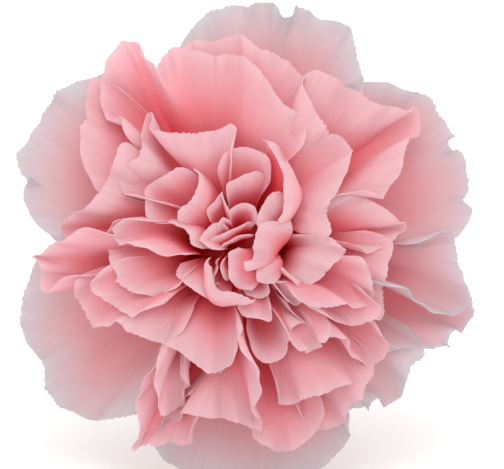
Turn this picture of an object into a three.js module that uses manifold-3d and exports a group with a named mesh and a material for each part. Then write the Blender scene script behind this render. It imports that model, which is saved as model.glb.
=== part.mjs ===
// A cut carnation lying on a surface: a double bloom that faces the front, its calyx and a leafy stem.
// Millimetres. +Z is up and +Y runs along the stem, away from the face of the bloom.
import * as THREE from 'three'
import { mergeVertices } from 'three/addons/utils/BufferGeometryUtils.js'
import Module from 'manifold-3d'

const wasm = await Module()
wasm.setup()

// ---------------------------------------------------------------- driving dimensions
const TILT = 14                                // degrees that the bloom looks up from the level
const MOUTH = new THREE.Vector3(-1.2, -51.35, 38.5)  // centre of the calyx mouth
const BLADE = 0.66                             // thickness of petals and leaves
const GAP = 0.3                                // clearance between pieces that touch

const DOME = { rim: 5, rise: 25, radius: 42 }  // height of the petals' margins over the calyx mouth
const SQUARE = 0.5                             // how far the ribs turn square to the margin
const EYE = { x: 2.1, y: 2.4, distance: 700 }  // where the margins of the petals are drawn from

// Each ring of petals stands in the core: radius and height of its roots, width of a root round the
// core, width of a column of facets along a margin, rows of facets from the root to the margin, and
// the columns on each side of a point that give the margin its direction there.
const RINGS = {
  guard: { radius: 7.2, height: 2.6, root: 4, column: 7.2, rows: 3, sweep: 3 },
  outer: { radius: 7.4, height: 5.5, root: 4.4, column: 6.8, rows: 3, sweep: 3 },
  middle: { radius: 6.4, height: 9.5, root: 4.2, column: 5.8, rows: 3, sweep: 3 },
  inner: { radius: 4.2, height: 13, root: 3, column: 4.6, rows: 2, sweep: 3 },
  heart: { radius: 2, height: 15.5, root: 2.2, column: 3.4, rows: 2, sweep: 2 },
}

// A rib climbs from its root by RISE of its height while it goes SPREAD of its way outwards, and comes
// to the margin along its last HOLD of the way and HOLD_MORE millimetres.
const RISE = 0.68
const SPREAD = 0.14
const HOLD = 0.55
const HOLD_MORE = 1

// An arched petal stands out from its margin by BODY of its arch, on a root moved out and down by SHIFT.
const BODY = 1.4
const SHIFT = 0.2

// The margins, drawn clockwise as seen from the front: x to the right and y up from the bloom's axis.
// lift is the height of a margin over the dome, or levels spaced evenly along it, and lean its slope in
// degrees, outwards and up. A petal with over stands on the outer side of its margin and arches in to
// it, over that many millimetres.
const PETALS = {
  guard_nine: { lift: -1.5, lean: -22, margin: [
    [-30, 0.5], [-33.1, 1.8], [-35.6, 4], [-37.8, 7.6], [-38.2, 10.4], [-37, 12], [-38.6, 13.2],
    [-38.8, 16], [-37.6, 18.5], [-35.5, 22.4], [-33.3, 26.2], [-29, 28.9], [-24.6, 30.6], [-19, 32]] },
  guard_noon: { lift: -0.5, lean: -18, margin: [
    [-12, 33.5], [-9.7, 36.7], [-8.3, 38.9], [-5.3, 41.2], [-0.4, 43], [1, 42.4], [3.9, 43.6],
    [7.2, 42.1], [8, 41], [9, 42.3], [11.5, 42.4], [13.3, 40.8], [18.5, 39.4], [20.2, 37], [20.6, 33.5],
    [21.8, 29.5], [22, 26]] },
  guard_two: { lift: -1.5, lean: -20, margin: [
    [16, 28.5], [21.7, 29.2], [24.7, 29.2], [28.2, 28], [33.1, 26.7], [35.4, 23.8], [36.9, 20.6],
    [37.6, 18.8], [37.1, 17.8], [38.7, 17.1], [40.1, 13.4], [40.4, 11], [39.1, 9], [40.3, 7.5],
    [40.3, 5.5], [39.1, 3], [35, 0]] },
  guard_three: { lift: 1, lean: -18, margin: [
    [33, 3], [37.5, 2.5], [38.3, 0.5], [38.4, -2.8], [39.3, -4.8], [40.6, -8.6], [39.8, -10.6],
    [37, -11.3], [34, -10.8], [31, -9.5], [28, -8], [25.6, -7.4]] },
  guard_four: { lift: -1.5, lean: -20, margin: [
    [39, -5], [40.9, -9.9], [41.1, -12.1], [39.8, -14.3], [38.3, -14.2], [36.8, -15.5], [36.5, -17.2],
    [34.7, -17.6], [32, -18], [30.2, -17.4], [28.4, -17.6], [26.4, -18.6], [24.6, -20]] },
  guard_five: { lift: -1, lean: -22, margin: [
    [33.5, -16], [31.6, -19.4], [30, -20.8], [29.3, -22.8], [28.8, -25.2], [28, -27], [26.6, -27.7],
    [24.6, -26.7], [23.5, -26.7], [22.4, -28.3], [21, -28], [19.2, -28.3], [16, -28.4]] },
  guard_six: { lift: 0, lean: -18, margin: [
    [18.6, -26], [19.5, -29.5], [19.6, -32.4], [18, -35.5], [15.4, -38], [11, -40.4], [5, -41.6],
    [-1, -41.8], [-7, -40.8], [-11.5, -38.8], [-14.2, -36.3], [-15.2, -34], [-15.4, -31]] },
  guard_eight: { lift: -1.5, lean: -20, margin: [
    [-13, -26], [-17, -28.8], [-20.2, -29.6], [-24.1, -30.3], [-27.1, -30.3], [-29.9, -28.9],
    [-32.2, -27.1], [-34.3, -24], [-34.6, -20.4], [-37, -18], [-38.2, -14.4], [-38.4, -11],
    [-37.6, -6.8], [-36.4, -2.8], [-33, 0.5]] },
  outer_seven: { lift: 2, lean: -20, margin: [
    [-6, -31.5], [-8, -34], [-10.3, -34.9], [-13, -34.4], [-15.4, -34.9], [-16.4, -34.4],
    [-18.8, -35.1], [-18.4, -32], [-17.8, -29], [-17.4, -25.5], [-17, -22]] },
  outer_nine: { lift: 3, lean: -18, margin: [
    [-30.6, -6.6], [-32.3, -6.9], [-34.2, -7.7], [-35.5, -6.3], [-34.8, -4], [-35.6, -2.6],
    [-36.6, -1.5], [-34.7, -0.3], [-33, 1], [-30, 2.2], [-26, 2.6]] },
  outer_eight: { lift: 0.5, lean: -20, margin: [
    [-11, -17], [-14.4, -16.3], [-17, -15.2], [-19.2, -14.4], [-20.8, -13.3], [-22.4, -13.7],
    [-24.6, -14.2], [-26.6, -13], [-28, -10.8], [-29, -9.2], [-29.8, -7.4], [-31, -6.4]] },
  outer_ten: { lift: 0, lean: -22, margin: [
    [-24, 10], [-26.5, 12.7], [-27.8, 15.5], [-27.9, 19.5], [-27, 23.5], [-27, 27], [-26.2, 29.6],
    [-23, 30.6]] },
  outer_noon: { lift: [3, 4, 3, 1.5, 1], lean: -16, margin: [
    [-12, 34.2], [-9, 36], [-5, 36.7], [-0.3, 37.5], [2, 36.4], [3.7, 34.9], [7, 33.8], [10.2, 31.5],
    [11.2, 30], [11.6, 27.8], [12.9, 24.8], [14.6, 22], [16.8, 19.6], [18.6, 19.1], [19.7, 17.4],
    [19.4, 15], [18.5, 12.4], [17, 10], [15.8, 8.4], [15.6, 6], [16.2, 3], [17.3, 1.4]] },
  outer_top: { lift: [-0.5, 2.5, 4, 4.5, 1], lean: -16, margin: [
    [-21.6, 19.5], [-21.7, 21.7], [-23.4, 22.8], [-24.2, 25.3], [-24.5, 28.2], [-24.1, 31.2],
    [-22.3, 34.2], [-20, 36.4], [-18, 34.1], [-16.2, 32.2], [-15, 31.6], [-14.2, 32.6], [-13, 34.2],
    [-10.6, 34.9], [-7, 34.7], [-4.5, 34], [-1, 34.2], [1.6, 33], [4, 30.6], [5.4, 28.5], [7, 26.4],
    [9, 24.6], [11.3, 22.8], [13.2, 20.4]] },
  outer_two: { lift: 2, lean: -20, margin: [
    [10, 31.5], [13, 31], [17, 29.6], [21, 27.8], [23.5, 25.6], [27.5, 25], [31.2, 24.8], [31.6, 22.4],
    [29.8, 19], [28.6, 15.6], [27.6, 12.2], [25.6, 10.5], [23, 10.8], [20.5, 10.4]] },
  outer_three: { lift: 2.5, lean: -16, margin: [
    [26, 3.5], [26.8, 1.4], [26.6, -0.5], [25.7, -3.8], [25.3, -6.8], [25.4, -9.5], [25.2, -13],
    [24, -13.8]] },
  outer_four: { lift: 3, lean: -18, margin: [
    [25.4, -13.4], [26.2, -16.2], [25.9, -18.4], [24.8, -20.2], [22.5, -20.2], [20.5, -19.6],
    [19.3, -18], [17.8, -16.4], [15.5, -15.7], [13.6, -16.4]] },
  outer_five: { lift: 1, lean: -20, margin: [
    [24.5, -19.5], [23.8, -22], [22.4, -23.6], [21.4, -25.6], [20, -27], [19, -28.6], [17.9, -31.2],
    [16, -31.9], [13.6, -32.3], [11.6, -32]] },
  outer_six: { lift: 2, lean: -16, margin: [
    [14, -29.5], [13.5, -32], [11.4, -34], [9, -35.3], [6.5, -35.8], [4.6, -34.8], [3.7, -32.6],
    [3.3, -30], [3.5, -27], [4.1, -25], [3.7, -23.4], [2.6, -22]] },
  outer_half_six: { lift: 3, lean: -16, margin: [
    [2.5, -23], [2.9, -26], [3.2, -29], [3.3, -31.9], [0.9, -31.1], [-2, -30.5], [-5.5, -29.7],
    [-9, -29.2], [-12.5, -30.6], [-13, -29.9], [-11.6, -28.4], [-10.6, -26.4]] },
  outer_half_seven: { lift: [-2, 0, 3, 3], lean: -16, margin: [
    [-11.4, -16.6], [-10.5, -18.6], [-10.3, -21.4], [-9.8, -24.7], [-10.8, -26.4], [-11.5, -28.4],
    [-13, -29], [-14.7, -28.7], [-15.1, -26], [-14.9, -22.5], [-15.4, -19.5]] },
  outer_half_five: { lift: 4, lean: -14, margin: [
    [20.8, -23.7], [18.5, -24.1], [16.7, -24.7], [13.4, -25.7], [10.8, -26.7], [9.2, -27.8],
    [8.2, -28.4], [7.6, -26.4]] },
  middle_nine: { lift: [0, 0, 1.5], lean: -5, margin: [
    [-19.5, 4.8], [-22, 4.6], [-23.4, 2.2], [-26.5, 0.8], [-29.9, 1.2], [-31.5, 3.5], [-30, 5.8],
    [-27, 7.6], [-24.7, 10], [-23.3, 12.6], [-22.1, 15.2], [-21.6, 17.6], [-22.4, 20]] },
  middle_eleven: { lift: 1, lean: -3, margin: [
    [-16.6, 9.8], [-18.3, 9.7], [-20, 10.2], [-21.2, 11.8], [-21.8, 14.2], [-20.4, 15.3], [-18.2, 15.8],
    [-17.2, 18], [-16.9, 21], [-16.1, 23.9], [-14.4, 21.6], [-12, 20.4], [-9, 20.3], [-5.5, 20.6],
    [-3.2, 21.1], [-1.8, 21.8], [0, 20.7], [0.1, 18.4]] },
  middle_two: { lift: 0.5, lean: -9, margin: [
    [16, 9], [18.5, 9.2], [21.5, 8.8], [24.5, 7.6], [27, 6], [29.4, 4.1], [28, 2.8], [26.6, 1.1],
    [24.6, 0], [22, -0.7], [19.6, -0.6], [18, 0]] },
  middle_three: { lift: 1.5, lean: -3, margin: [
    [14, 2.3], [17.6, 1], [18.5, -0.4], [17.5, -2], [15.4, -3.9], [14.7, -5], [13.4, -5.9],
    [11.8, -6.1], [11.2, -6.8], [10, -6.4], [9, -5.6], [8.5, -4]] },
  middle_four: { lift: 0, lean: -5, margin: [
    [18.8, -0.8], [20.8, -0.9], [22.2, -2.8], [23.2, -5.6], [23.4, -8], [23.6, -9.2], [22, -10],
    [18.5, -10.2], [14.5, -10.5], [12, -10.2], [10.6, -9.6]] },
  middle_half_four: { lift: 0, lean: -7, margin: [
    [24, -8], [24.9, -10.4], [24, -12.3], [22, -13.1], [19.5, -13.2], [17, -12.8], [14.6, -12.3],
    [12.5, -11.6]] },
  middle_five: { lift: 0, lean: -1, margin: [
    [16.8, -16], [14.8, -16.5], [13.8, -17.2], [13.4, -18.2], [12.2, -17.9], [11, -18.2], [9.8, -17.2],
    [9, -16]] },
  middle_seven: { lift: 1.5, lean: -7, margin: [
    [0.8, -16.9], [-0.4, -17.2], [-1.6, -18.8], [-2.2, -20.6], [-3.8, -21.7], [-6.5, -21.3],
    [-8.6, -19.8], [-10.6, -18.4], [-13, -17.2], [-15.6, -16.3], [-18, -15.3], [-20.4, -14.3],
    [-22, -13]] },
  middle_eight: { lift: 2, lean: -7, margin: [
    [-15.6, -11.8], [-18.6, -12.3], [-20, -11.6], [-22, -10.4], [-24, -9], [-25.9, -7.7], [-26.3, -6],
    [-25.5, -4.2], [-24.6, -2.6]] },
  middle_half_nine: { lift: 0.5, lean: -3, margin: [
    [-10.6, -6.2], [-12.3, -7.2], [-15.3, -7.9], [-17.8, -8.2], [-19.6, -7.4], [-21.8, -5.6],
    [-21.7, -4.6], [-22.8, -2.6], [-23.3, -0.7], [-23.6, 0.4], [-22.8, 1.8], [-21, 2.6]] },
  middle_ten: { lift: 1.5, lean: 1, margin: [
    [-10.8, -0.9], [-13, -1], [-16, -0.6], [-18.6, -0.2], [-20.6, 0.3], [-22.2, 1.8], [-22.4, 3.2],
    [-20.6, 4.1], [-18, 4.6]] },
  inner_ten: { lift: 0, lean: 20, margin: [
    [-13, 4.6], [-14.8, 4.6], [-16.4, 5.4], [-16.7, 7.4], [-16.6, 9], [-16.7, 10.3], [-15.8, 11.3],
    [-14, 12.5], [-11.5, 14], [-9, 15.7]] },
  inner_eleven: { lift: 1, lean: 25, margin: [
    [-12.6, 5.7], [-10.5, 6.9], [-9.1, 7.9], [-8, 9.6], [-7.6, 11.2], [-7.9, 12.8], [-8.6, 14.1],
    [-9.3, 15.5]] },
  inner_noon: { lift: 0, lean: 20, margin: [
    [-4.5, 16.3], [-2, 17.1], [0.5, 17.8], [3, 17.2], [5, 16.2], [6.4, 14.4]] },
  inner_one: { lift: 2.5, lean: -8, over: 5, margin: [
    [3.4, 19.6], [4.8, 18.2], [5.9, 16.6], [6.8, 14.8], [7.6, 13], [7.8, 11], [7.8, 9], [7.7, 7.6],
    [7.1, 6.3], [6, 5.3]] },
  inner_three: { lift: 1, lean: -2, over: 8, margin: [
    [7.2, 5.8], [5.6, 5.1], [4.3, 4.6], [3.3, 3.9], [2.8, 2.8], [2.5, 1.4], [2.2, 0], [2.3, -1.4],
    [1.3, -2.3], [0.6, -3.1], [1.6, -3.2], [2.8, -2.7], [3.2, -3.5], [2.9, -4.8], [3, -6], [3.8, -6.9],
    [4.8, -7.2]] },
  inner_half_noon: { lift: 0, lean: 35, margin: [
    [-2.6, 10], [-2.1, 11.4], [-0.8, 12.1], [0.6, 13], [2, 13.4], [3.4, 14.4]] },
  inner_two: { lift: 0.5, lean: 0, over: 6, margin: [
    [8.8, 9.4], [7.6, 9.9], [6, 9.9], [4.9, 9.1], [4, 7.6], [3.2, 6.2], [2.3, 4.9]] },
  inner_four: { lift: 0, lean: 10, margin: [
    [5.4, -6.7], [7.4, -6.2], [9.3, -6.1], [10.2, -7.4], [10.5, -10], [9.4, -9.4], [7.4, -8.4],
    [6, -7.2]] },
  inner_five: { lift: 0.5, lean: 45, margin: [
    [10, -10.6], [11.2, -12], [12.2, -14], [10.7, -13.2], [8.9, -14.2], [8.8, -15.8], [7.7, -17.3],
    [7.6, -19.2], [5.4, -20.3], [3.2, -20.1], [2.2, -18.5], [1, -17.2]] },
  inner_six: { lift: 0, lean: 30, margin: [
    [5.8, -11], [5.4, -12.9], [3, -12.6], [1.2, -12.2], [-0.5, -11.8]] },
  inner_seven: { lift: 1, lean: -8, over: 5, margin: [
    [3.4, -8.8], [1.4, -8.6], [-0.6, -8], [-2.6, -7.9], [-4, -7.2], [-4.5, -6.2], [-4.7, -4.8],
    [-4.9, -3.2], [-5.2, -2.2], [-4.6, -1.4]] },
  inner_eight: { lift: 0, lean: 20, margin: [
    [-1.5, -10.6], [-4, -9.8], [-6.5, -8.5], [-9, -6.8], [-11, -5], [-12.9, -3.1]] },
  inner_nine: { lift: 0, lean: 30, margin: [
    [-7.4, -0.4], [-8.6, 0.6], [-9.1, 2.2], [-10, 3.7], [-12, 4.9], [-14, 5.4]] },
  heart_nine: { lift: 0.5, lean: 20, margin: [
    [-3.6, -0.4], [-5, -0.3], [-6.3, 0.5], [-7.2, 1.4], [-6.4, 2.8], [-5.4, 3.8], [-4.4, 4.5], [-3.4, 4]] },
  heart_ten: { lift: 0, lean: 60, margin: [
    [-6, 5.2], [-5.6, 7], [-4, 8.4], [-3.2, 10], [-2.4, 9.2], [-1.8, 7.2]] },
  heart_noon: { lift: 0, lean: 50, margin: [
    [-1.8, 5.4], [-1.2, 6.9], [0.4, 7.8], [2.4, 7.4], [3.6, 6]] },
  heart_one: { lift: 0, lean: 60, margin: [
    [-3.8, -0.2], [-2.9, 1.1], [-1.5, 1.9], [0, 2.4], [1.6, 2.6], [2.7, 2.2]] },
  heart_two: { lift: 0, lean: -3, over: 8, margin: [
    [-1.4, 0.6], [-2.1, -0.6], [-2.1, -2.2], [-2, -3.8], [-1.9, -5], [-1.1, -6.3], [0, -7.4],
    [0.9, -8.2]] },
  heart_eleven: { lift: 0, lean: 60, margin: [
    [-3.9, 3.2], [-3.8, 4.6], [-3, 5.6], [-2, 5.2]] },
  heart_half_noon: { lift: 0, lean: 35, margin: [
    [-6.6, 1], [-5.2, 1.7], [-3.5, 2.3], [-1.5, 3], [0.2, 3.9], [1.6, 4.5], [3.2, 4.7]] },
  heart_half_five: { lift: -0.5, lean: 35, margin: [
    [5.4, -6.8], [5.1, -8], [3.8, -8.7], [2.4, -8.5], [1.2, -8.2], [0.6, -7.2]] },
  heart_four: { lift: -1, lean: 50, margin: [
    [3.1, -3.3], [1.9, -4.1], [1, -5.2], [0.5, -6.2]] },
  heart_eight: { lift: 0, lean: 20, over: 2, margin: [
    [-3.4, -6.4], [-4.3, -6.3], [-4.5, -5.2], [-4.1, -4.2], [-4, -3.2], [-4.3, -2.3], [-3.6, -1.7]] },
  heart_seven: { lift: 0, lean: 50, margin: [
    [-2.6, -6], [-3.4, -4.8], [-3.6, -3.2], [-3.2, -2]] },
}

// Calyx, core of the bloom and ovary: [height along the bloom's axis, radius].
const CALYX_WALL = 0.9
const CALYX = [[-28, 3.4], [-26.5, 4.6], [-21, 5.9], [-12, 6.5], [-4, 6.9], [0.2, 7.5]]
const TEETH = { count: 5, depth: 4.6 }
const BRACTS = { count: 4, length: 11, width: 7.5 }
const CORE = [
  [-16, 0], [-15.6, 3.2], [-13.5, 4.9], [-4, 5.5], [0, 5.9], [1.6, 7.6], [4, 8.6], [7, 8.4], [11, 7],
  [15, 4.6], [17.5, 2.2], [18.3, 0]]
const OVARY = [[-26.7, 0], [-26.5, 2.2], [-24, 3.3], [-21, 3.1], [-18.5, 1.9], [-17, 1.1], [-16.6, 0]]

// Stem: points of its centre line behind the calyx, from the base of the calyx to the cut.
const STEM = { radius: 2.2, sides: 10 }
const STEM_LINE = [
  [0, 0, 0], [0.2, 9, -2.3], [1.4, 32, -8.6], [2.4, 56, -17.4], [1.2, 80, -25.5], [-1.4, 94, -28.6],
  [-3.2, 106, -29.9]]
const JOINTS = [{ at: 0.34, radius: 3.1 }, { at: 0.76, radius: 3.3 }]

// Leaves: midribs as [sideways, along, up] steps from their joint, towards the bloom, with their widths.
const LEAVES = [
  { joint: 0, width: 4.6, line: [[0, 0, 1], [-0.5, -7, 6], [-2.5, -15, 11], [-6.5, -24, 13]] },
  { joint: 0, width: 4.4, line: [[0, 0, -1], [0.5, -6, -6.5], [3, -13, -11], [8, -21, -13]] },
  { joint: 1, width: 6.0, line: [[-1, 0, 0], [-9, -8, 3], [-17, -22, 7], [-21, -38, 8], [-20, -52, 3]] },
  { joint: 1, width: 5.8, line: [[1, 0, 0], [8, -10, 4], [15, -24, 6.5], [20, -40, 3], [24, -54, -3]] },
]

// ---------------------------------------------------------------- colours
const finish = (color, roughness) => new THREE.MeshStandardMaterial({ color, roughness, metalness: 0 })
const PETAL_PINK = finish(0xeda3ae, 0.75)
const CALYX_GREEN = finish(0x8fa67c, 0.65)
const STEM_GREEN = finish(0x7d9a78, 0.6)
const OVARY_GREEN = finish(0xb9c79a, 0.6)

// ---------------------------------------------------------------- solids and surfaces
/** A manifold solid from any closed three.js geometry. */
function solid(geometry) {
  const bare = geometry.index ? geometry.toNonIndexed() : geometry.clone()
  for (const name of Object.keys(bare.attributes)) if (name !== 'position') bare.deleteAttribute(name)
  const merged = mergeVertices(bare, 1e-4)
  return new wasm.Manifold(new wasm.Mesh({
    numProp: 3,
    vertProperties: Float32Array.from(merged.attributes.position.array),
    triVerts: Uint32Array.from(merged.index.array),
  }))
}

/** A three.js geometry from a manifold solid. */
function geometryOf(manifold) {
  const mesh = manifold.getMesh()
  const geometry = new THREE.BufferGeometry()
  geometry.setAttribute('position', new THREE.BufferAttribute(Float32Array.from(mesh.vertProperties), 3))
  geometry.setIndex(Array.from(mesh.triVerts))
  geometry.computeVertexNormals()
  return geometry
}

/** The largest body of a solid, with its sealed hollows filled. */
function wholeBody(manifold) {
  const bodies = manifold.decompose()
  return bodies.reduce((best, body) => (body.volume() > best.volume() ? body : best))
}

/** Joins many solids two by two, so that no union grows large before it has to. */
function unionOf(solids) {
  let round = solids
  while (round.length > 1) {
    const next = []
    for (let i = 0; i < round.length; i += 2) {
      next.push(i + 1 < round.length ? round[i].add(round[i + 1]) : round[i])
    }
    round = next
  }
  return round[0]
}

/** Normals of a grid of points: the cross product of its two directions at each point. */
function gridNormals(grid) {
  const last = grid.length - 1
  const wide = grid[0].length - 1
  return grid.map((row, j) => row.map((_, i) => {
    const along = grid[Math.min(j + 1, last)][i].clone().sub(grid[Math.max(j - 1, 0)][i])
    const across = grid[j][Math.min(i + 1, wide)].clone().sub(grid[j][Math.max(i - 1, 0)])
    return across.cross(along).normalize()
  }))
}

/** A blade round a grid of points, joined of its columns so that it may fold over itself. */
function foldedBlade(grid, thickness) {
  const normals = gridNormals(grid)
  const columns = grid[0].length - 1
  const strips = Array.from({ length: columns }, (_, i) => solid(blade(
    grid.map(row => row.slice(i, i + 2)), thickness, normals.map(row => row.slice(i, i + 2)))))
  return unionOf(strips)
}

/** A closed blade round a grid of points, split into triangles alike on both faces. */
function blade(grid, thickness, normals = gridNormals(grid)) {
  const rows = grid.length
  const columns = grid[0].length
  const positions = []
  for (const side of [0.5, -0.5]) {
    grid.forEach((row, j) => row.forEach((point, i) => {
      positions.push(...point.clone().addScaledVector(normals[j][i], side * thickness).toArray())
    }))
  }
  const at = (j, i) => j * columns + i
  const back = rows * columns
  const index = []
  for (let j = 0; j < rows - 1; j++) {
    for (let i = 0; i < columns - 1; i++) {
      const [a, b, c, d] = [at(j, i), at(j, i + 1), at(j + 1, i + 1), at(j + 1, i)]
      index.push(a, b, c, a, c, d)
      index.push(back + a, back + c, back + b, back + a, back + d, back + c)
    }
  }
  const rim = []
  for (let i = 0; i < columns - 1; i++) rim.push([at(0, i), at(0, i + 1)])
  for (let j = 0; j < rows - 1; j++) rim.push([at(j, columns - 1), at(j + 1, columns - 1)])
  for (let i = columns - 1; i > 0; i--) rim.push([at(rows - 1, i), at(rows - 1, i - 1)])
  for (let j = rows - 1; j > 0; j--) rim.push([at(j, 0), at(j - 1, 0)])
  for (const [p, q] of rim) {
    if (p < q) index.push(q, p, back + p, q, back + p, back + q)
    else index.push(q, p, back + q, p, back + p, back + q)
  }
  const geometry = new THREE.BufferGeometry()
  geometry.setAttribute('position', new THREE.Float32BufferAttribute(positions, 3))
  geometry.setIndex(index)
  return geometry
}

/** A solid of revolution about the bloom's axis from [height, radius] pairs. */
function turned(profile, sides) {
  const points = profile.map(([height, radius]) => new THREE.Vector2(radius, height))
  return new THREE.LatheGeometry(points, sides).rotateX(Math.PI / 2)
}

/** A point at an angle round the bloom's axis, at a radius and a height. */
function around(angle, radius, height) {
  return new THREE.Vector3(radius * Math.cos(angle), radius * Math.sin(angle), height)
}

// ---------------------------------------------------------------- the bloom
const domeHeight = (x, y) => DOME.rim + DOME.rise * (1 - (x * x + y * y) / DOME.radius ** 2)

/** The lift at a share of a margin, from one number or from levels spaced evenly along it. */
function liftAt(lift, share) {
  if (!Array.isArray(lift)) return lift
  const place = share * (lift.length - 1)
  const i = Math.min(Math.floor(place), lift.length - 2)
  return THREE.MathUtils.lerp(lift[i], lift[i + 1], place - i)
}

/** The margin of a petal as evenly spaced points, pulled in where it stands nearer to the eye. */
function marginPoints({ lift, margin }, column) {
  const points = margin.map(([x, y]) => new THREE.Vector3(x, y, 0))
  const drawn = new THREE.CatmullRomCurve3(points, false, 'centripetal')
  const columns = Math.max(4, Math.round(drawn.getLength() / column))
  return drawn.getSpacedPoints(columns).map(({ x, y }, i) => {
    const z = domeHeight(x, y) + liftAt(lift, i / columns)
    const near = 1 - z / EYE.distance
    return new THREE.Vector3(EYE.x + (x - EYE.x) * near, EYE.y + (y - EYE.y) * near, z)
  })
}

/** Directions square to the sweep of the margin, level, on its outer side. */
function outward(points, sweep) {
  return points.map((_, i) => {
    const before = points[Math.max(i - sweep, 0)]
    const after = points[Math.min(i + sweep, points.length - 1)]
    return new THREE.Vector3(before.y - after.y, after.x - before.x, 0).normalize()
  })
}

/** A petal: ribs that rise from its root, spread and end at the margin, as Bezier curves. */
function petalGrid(ring, petal) {
  const { height, root, column, rows, sweep } = RINGS[ring]
  const over = petal.over ?? 0
  const radius = RINGS[ring].radius + SHIFT * over
  const margin = marginPoints(petal, column)
  const normals = outward(margin, sweep)
  const middle = new THREE.Vector3()
  margin.forEach((point, i) => middle.add(point).addScaledVector(normals[i], BODY * over))
  const turn = Math.atan2(middle.y, middle.x)
  const lean = THREE.MathUtils.degToRad(petal.lean)
  const ribs = margin.map((end, i) => {
    const angle = turn + (0.5 - i / (margin.length - 1)) * root / radius
    const base = around(angle, radius, height - SHIFT * over)
    const reach = new THREE.Vector3(end.x - base.x, end.y - base.y, 0)
    const out = over ? normals[i].clone().negate()
      : reach.clone().normalize().addScaledVector(normals[i], SQUARE).normalize()
    const rise = base.clone().addScaledVector(reach, SPREAD)
    rise.z += RISE * (end.z - base.z)
    const hold = over || HOLD * reach.length() + HOLD_MORE
    const bend = end.clone().addScaledVector(out, -hold * Math.cos(lean))
    bend.z -= hold * Math.sin(lean)
    return new THREE.CubicBezierCurve3(base, rise, bend, end)
  })
  return Array.from({ length: rows + 1 }, (_, j) => ribs.map(rib => rib.getPoint(j / rows)))
}

/** Places a point of the bloom's frame in the part's frame. */
const bloomPlace = new THREE.Matrix4()
  .makeTranslation(MOUTH)
  .multiply(new THREE.Matrix4().makeRotationX(THREE.MathUtils.degToRad(90 - TILT)))

// The lowest petal is cut level where the bloom rests on the surface.
const underSurface = solid(new THREE.BoxGeometry(400, 400, 40).translate(0, 0, -20))

function petalsGeometry() {
  const blades = Object.entries(PETALS).map(([name, petal]) => {
    const grid = petalGrid(name.split('_')[0], petal)
    return foldedBlade(grid, BLADE).transform(bloomPlace.elements)
  })
  const core = solid(turned(CORE, 20).applyMatrix4(bloomPlace))
  return geometryOf(wholeBody(unionOf([core, ...blades]).subtract(underSurface)))
}

// ---------------------------------------------------------------- the calyx and what it holds
/** Radius of the calyx at a height, between the points of its profile. */
function calyxRadius(height) {
  const next = CALYX.findIndex(([level]) => level >= height)
  if (next <= 0) return CALYX[0][1]
  const [[h0, r0], [h1, r1]] = [CALYX[next - 1], CALYX[next]]
  return THREE.MathUtils.mapLinear(height, h0, h1, r0, r1)
}

/** The notch between two teeth: a wedge through the wall, square to the bloom's axis. */
function toothNotch(turn) {
  const [top, rim] = CALYX.at(-1)
  const half = 0.92 * rim * Math.sin(Math.PI / TEETH.count)
  const wedge = new THREE.Shape([
    new THREE.Vector2(-half, top + 1),
    new THREE.Vector2(0, top - TEETH.depth),
    new THREE.Vector2(half, top + 1),
  ])
  return new THREE.ExtrudeGeometry(wedge, { depth: 2 * rim, bevelEnabled: false })
    .rotateX(Math.PI / 2).rotateZ(turn)
}

/** A bract: a pointed scale that hugs the base of the calyx and opens a little at its tip. */
function bractGrid(turn) {
  const [foot] = CALYX[0]
  const steps = [0, 0.25, 0.5, 0.75, 1]
  const shares = [-1, -0.5, 0, 0.5, 1]
  return steps.map(t => {
    const height = foot + 0.4 + BRACTS.length * t
    const radius = calyxRadius(height) + 0.05 + 0.9 * t * t
    const half = 0.5 * BRACTS.width * (1 - 0.85 * t ** 1.7) / radius
    return shares.map(share => {
      const angle = turn + share * half
      return around(angle, radius, height - 0.8 * Math.abs(share) * t)
    })
  })
}

function calyxGeometry() {
  const inner = CALYX.map(([height, radius], i) => {
    return [height + (i ? 0 : CALYX_WALL), radius - CALYX_WALL]
  }).reverse()
  const [foot] = CALYX[0]
  let tube = solid(turned([[foot, 0], ...CALYX, ...inner, [foot + CALYX_WALL, 0]], 20))
  for (let i = 0; i < TEETH.count; i++) {
    tube = tube.subtract(solid(toothNotch((i + 0.5) * 2 * Math.PI / TEETH.count)))
  }
  for (let i = 0; i < BRACTS.count; i++) {
    tube = tube.add(solid(blade(bractGrid((i + 0.25) * 2 * Math.PI / BRACTS.count), BLADE)))
  }
  return geometryOf(tube).applyMatrix4(bloomPlace)
}

const ovaryGeometry = () => turned(OVARY, 14).applyMatrix4(bloomPlace)

// ---------------------------------------------------------------- the leafy stem
const [calyxFoot] = CALYX[0]
const stemStart = new THREE.Vector3(0, 0, calyxFoot - GAP).applyMatrix4(bloomPlace)
const stemPoints = STEM_LINE.map(step => new THREE.Vector3(...step).add(stemStart))
const stemCurve = new THREE.CatmullRomCurve3(stemPoints)

/** A circle of few sides, as a shape to extrude. */
function roundShape(radius, sides) {
  const corners = Array.from({ length: sides }, (_, i) => {
    const angle = 2 * Math.PI * (i + 0.5) / sides
    return new THREE.Vector2(radius * Math.cos(angle), radius * Math.sin(angle))
  })
  return new THREE.Shape(corners)
}

/** The swollen joint that a pair of leaves grows from. */
function jointBulb({ at, radius }) {
  const up = new THREE.Vector3(0, 0, 1)
  const along = new THREE.Quaternion().setFromUnitVectors(up, stemCurve.getTangentAt(at))
  return new THREE.SphereGeometry(radius, 12, 8).rotateX(Math.PI / 2).scale(1, 1, 1.25)
    .applyQuaternion(along).translate(...stemCurve.getPointAt(at).toArray())
}

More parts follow.
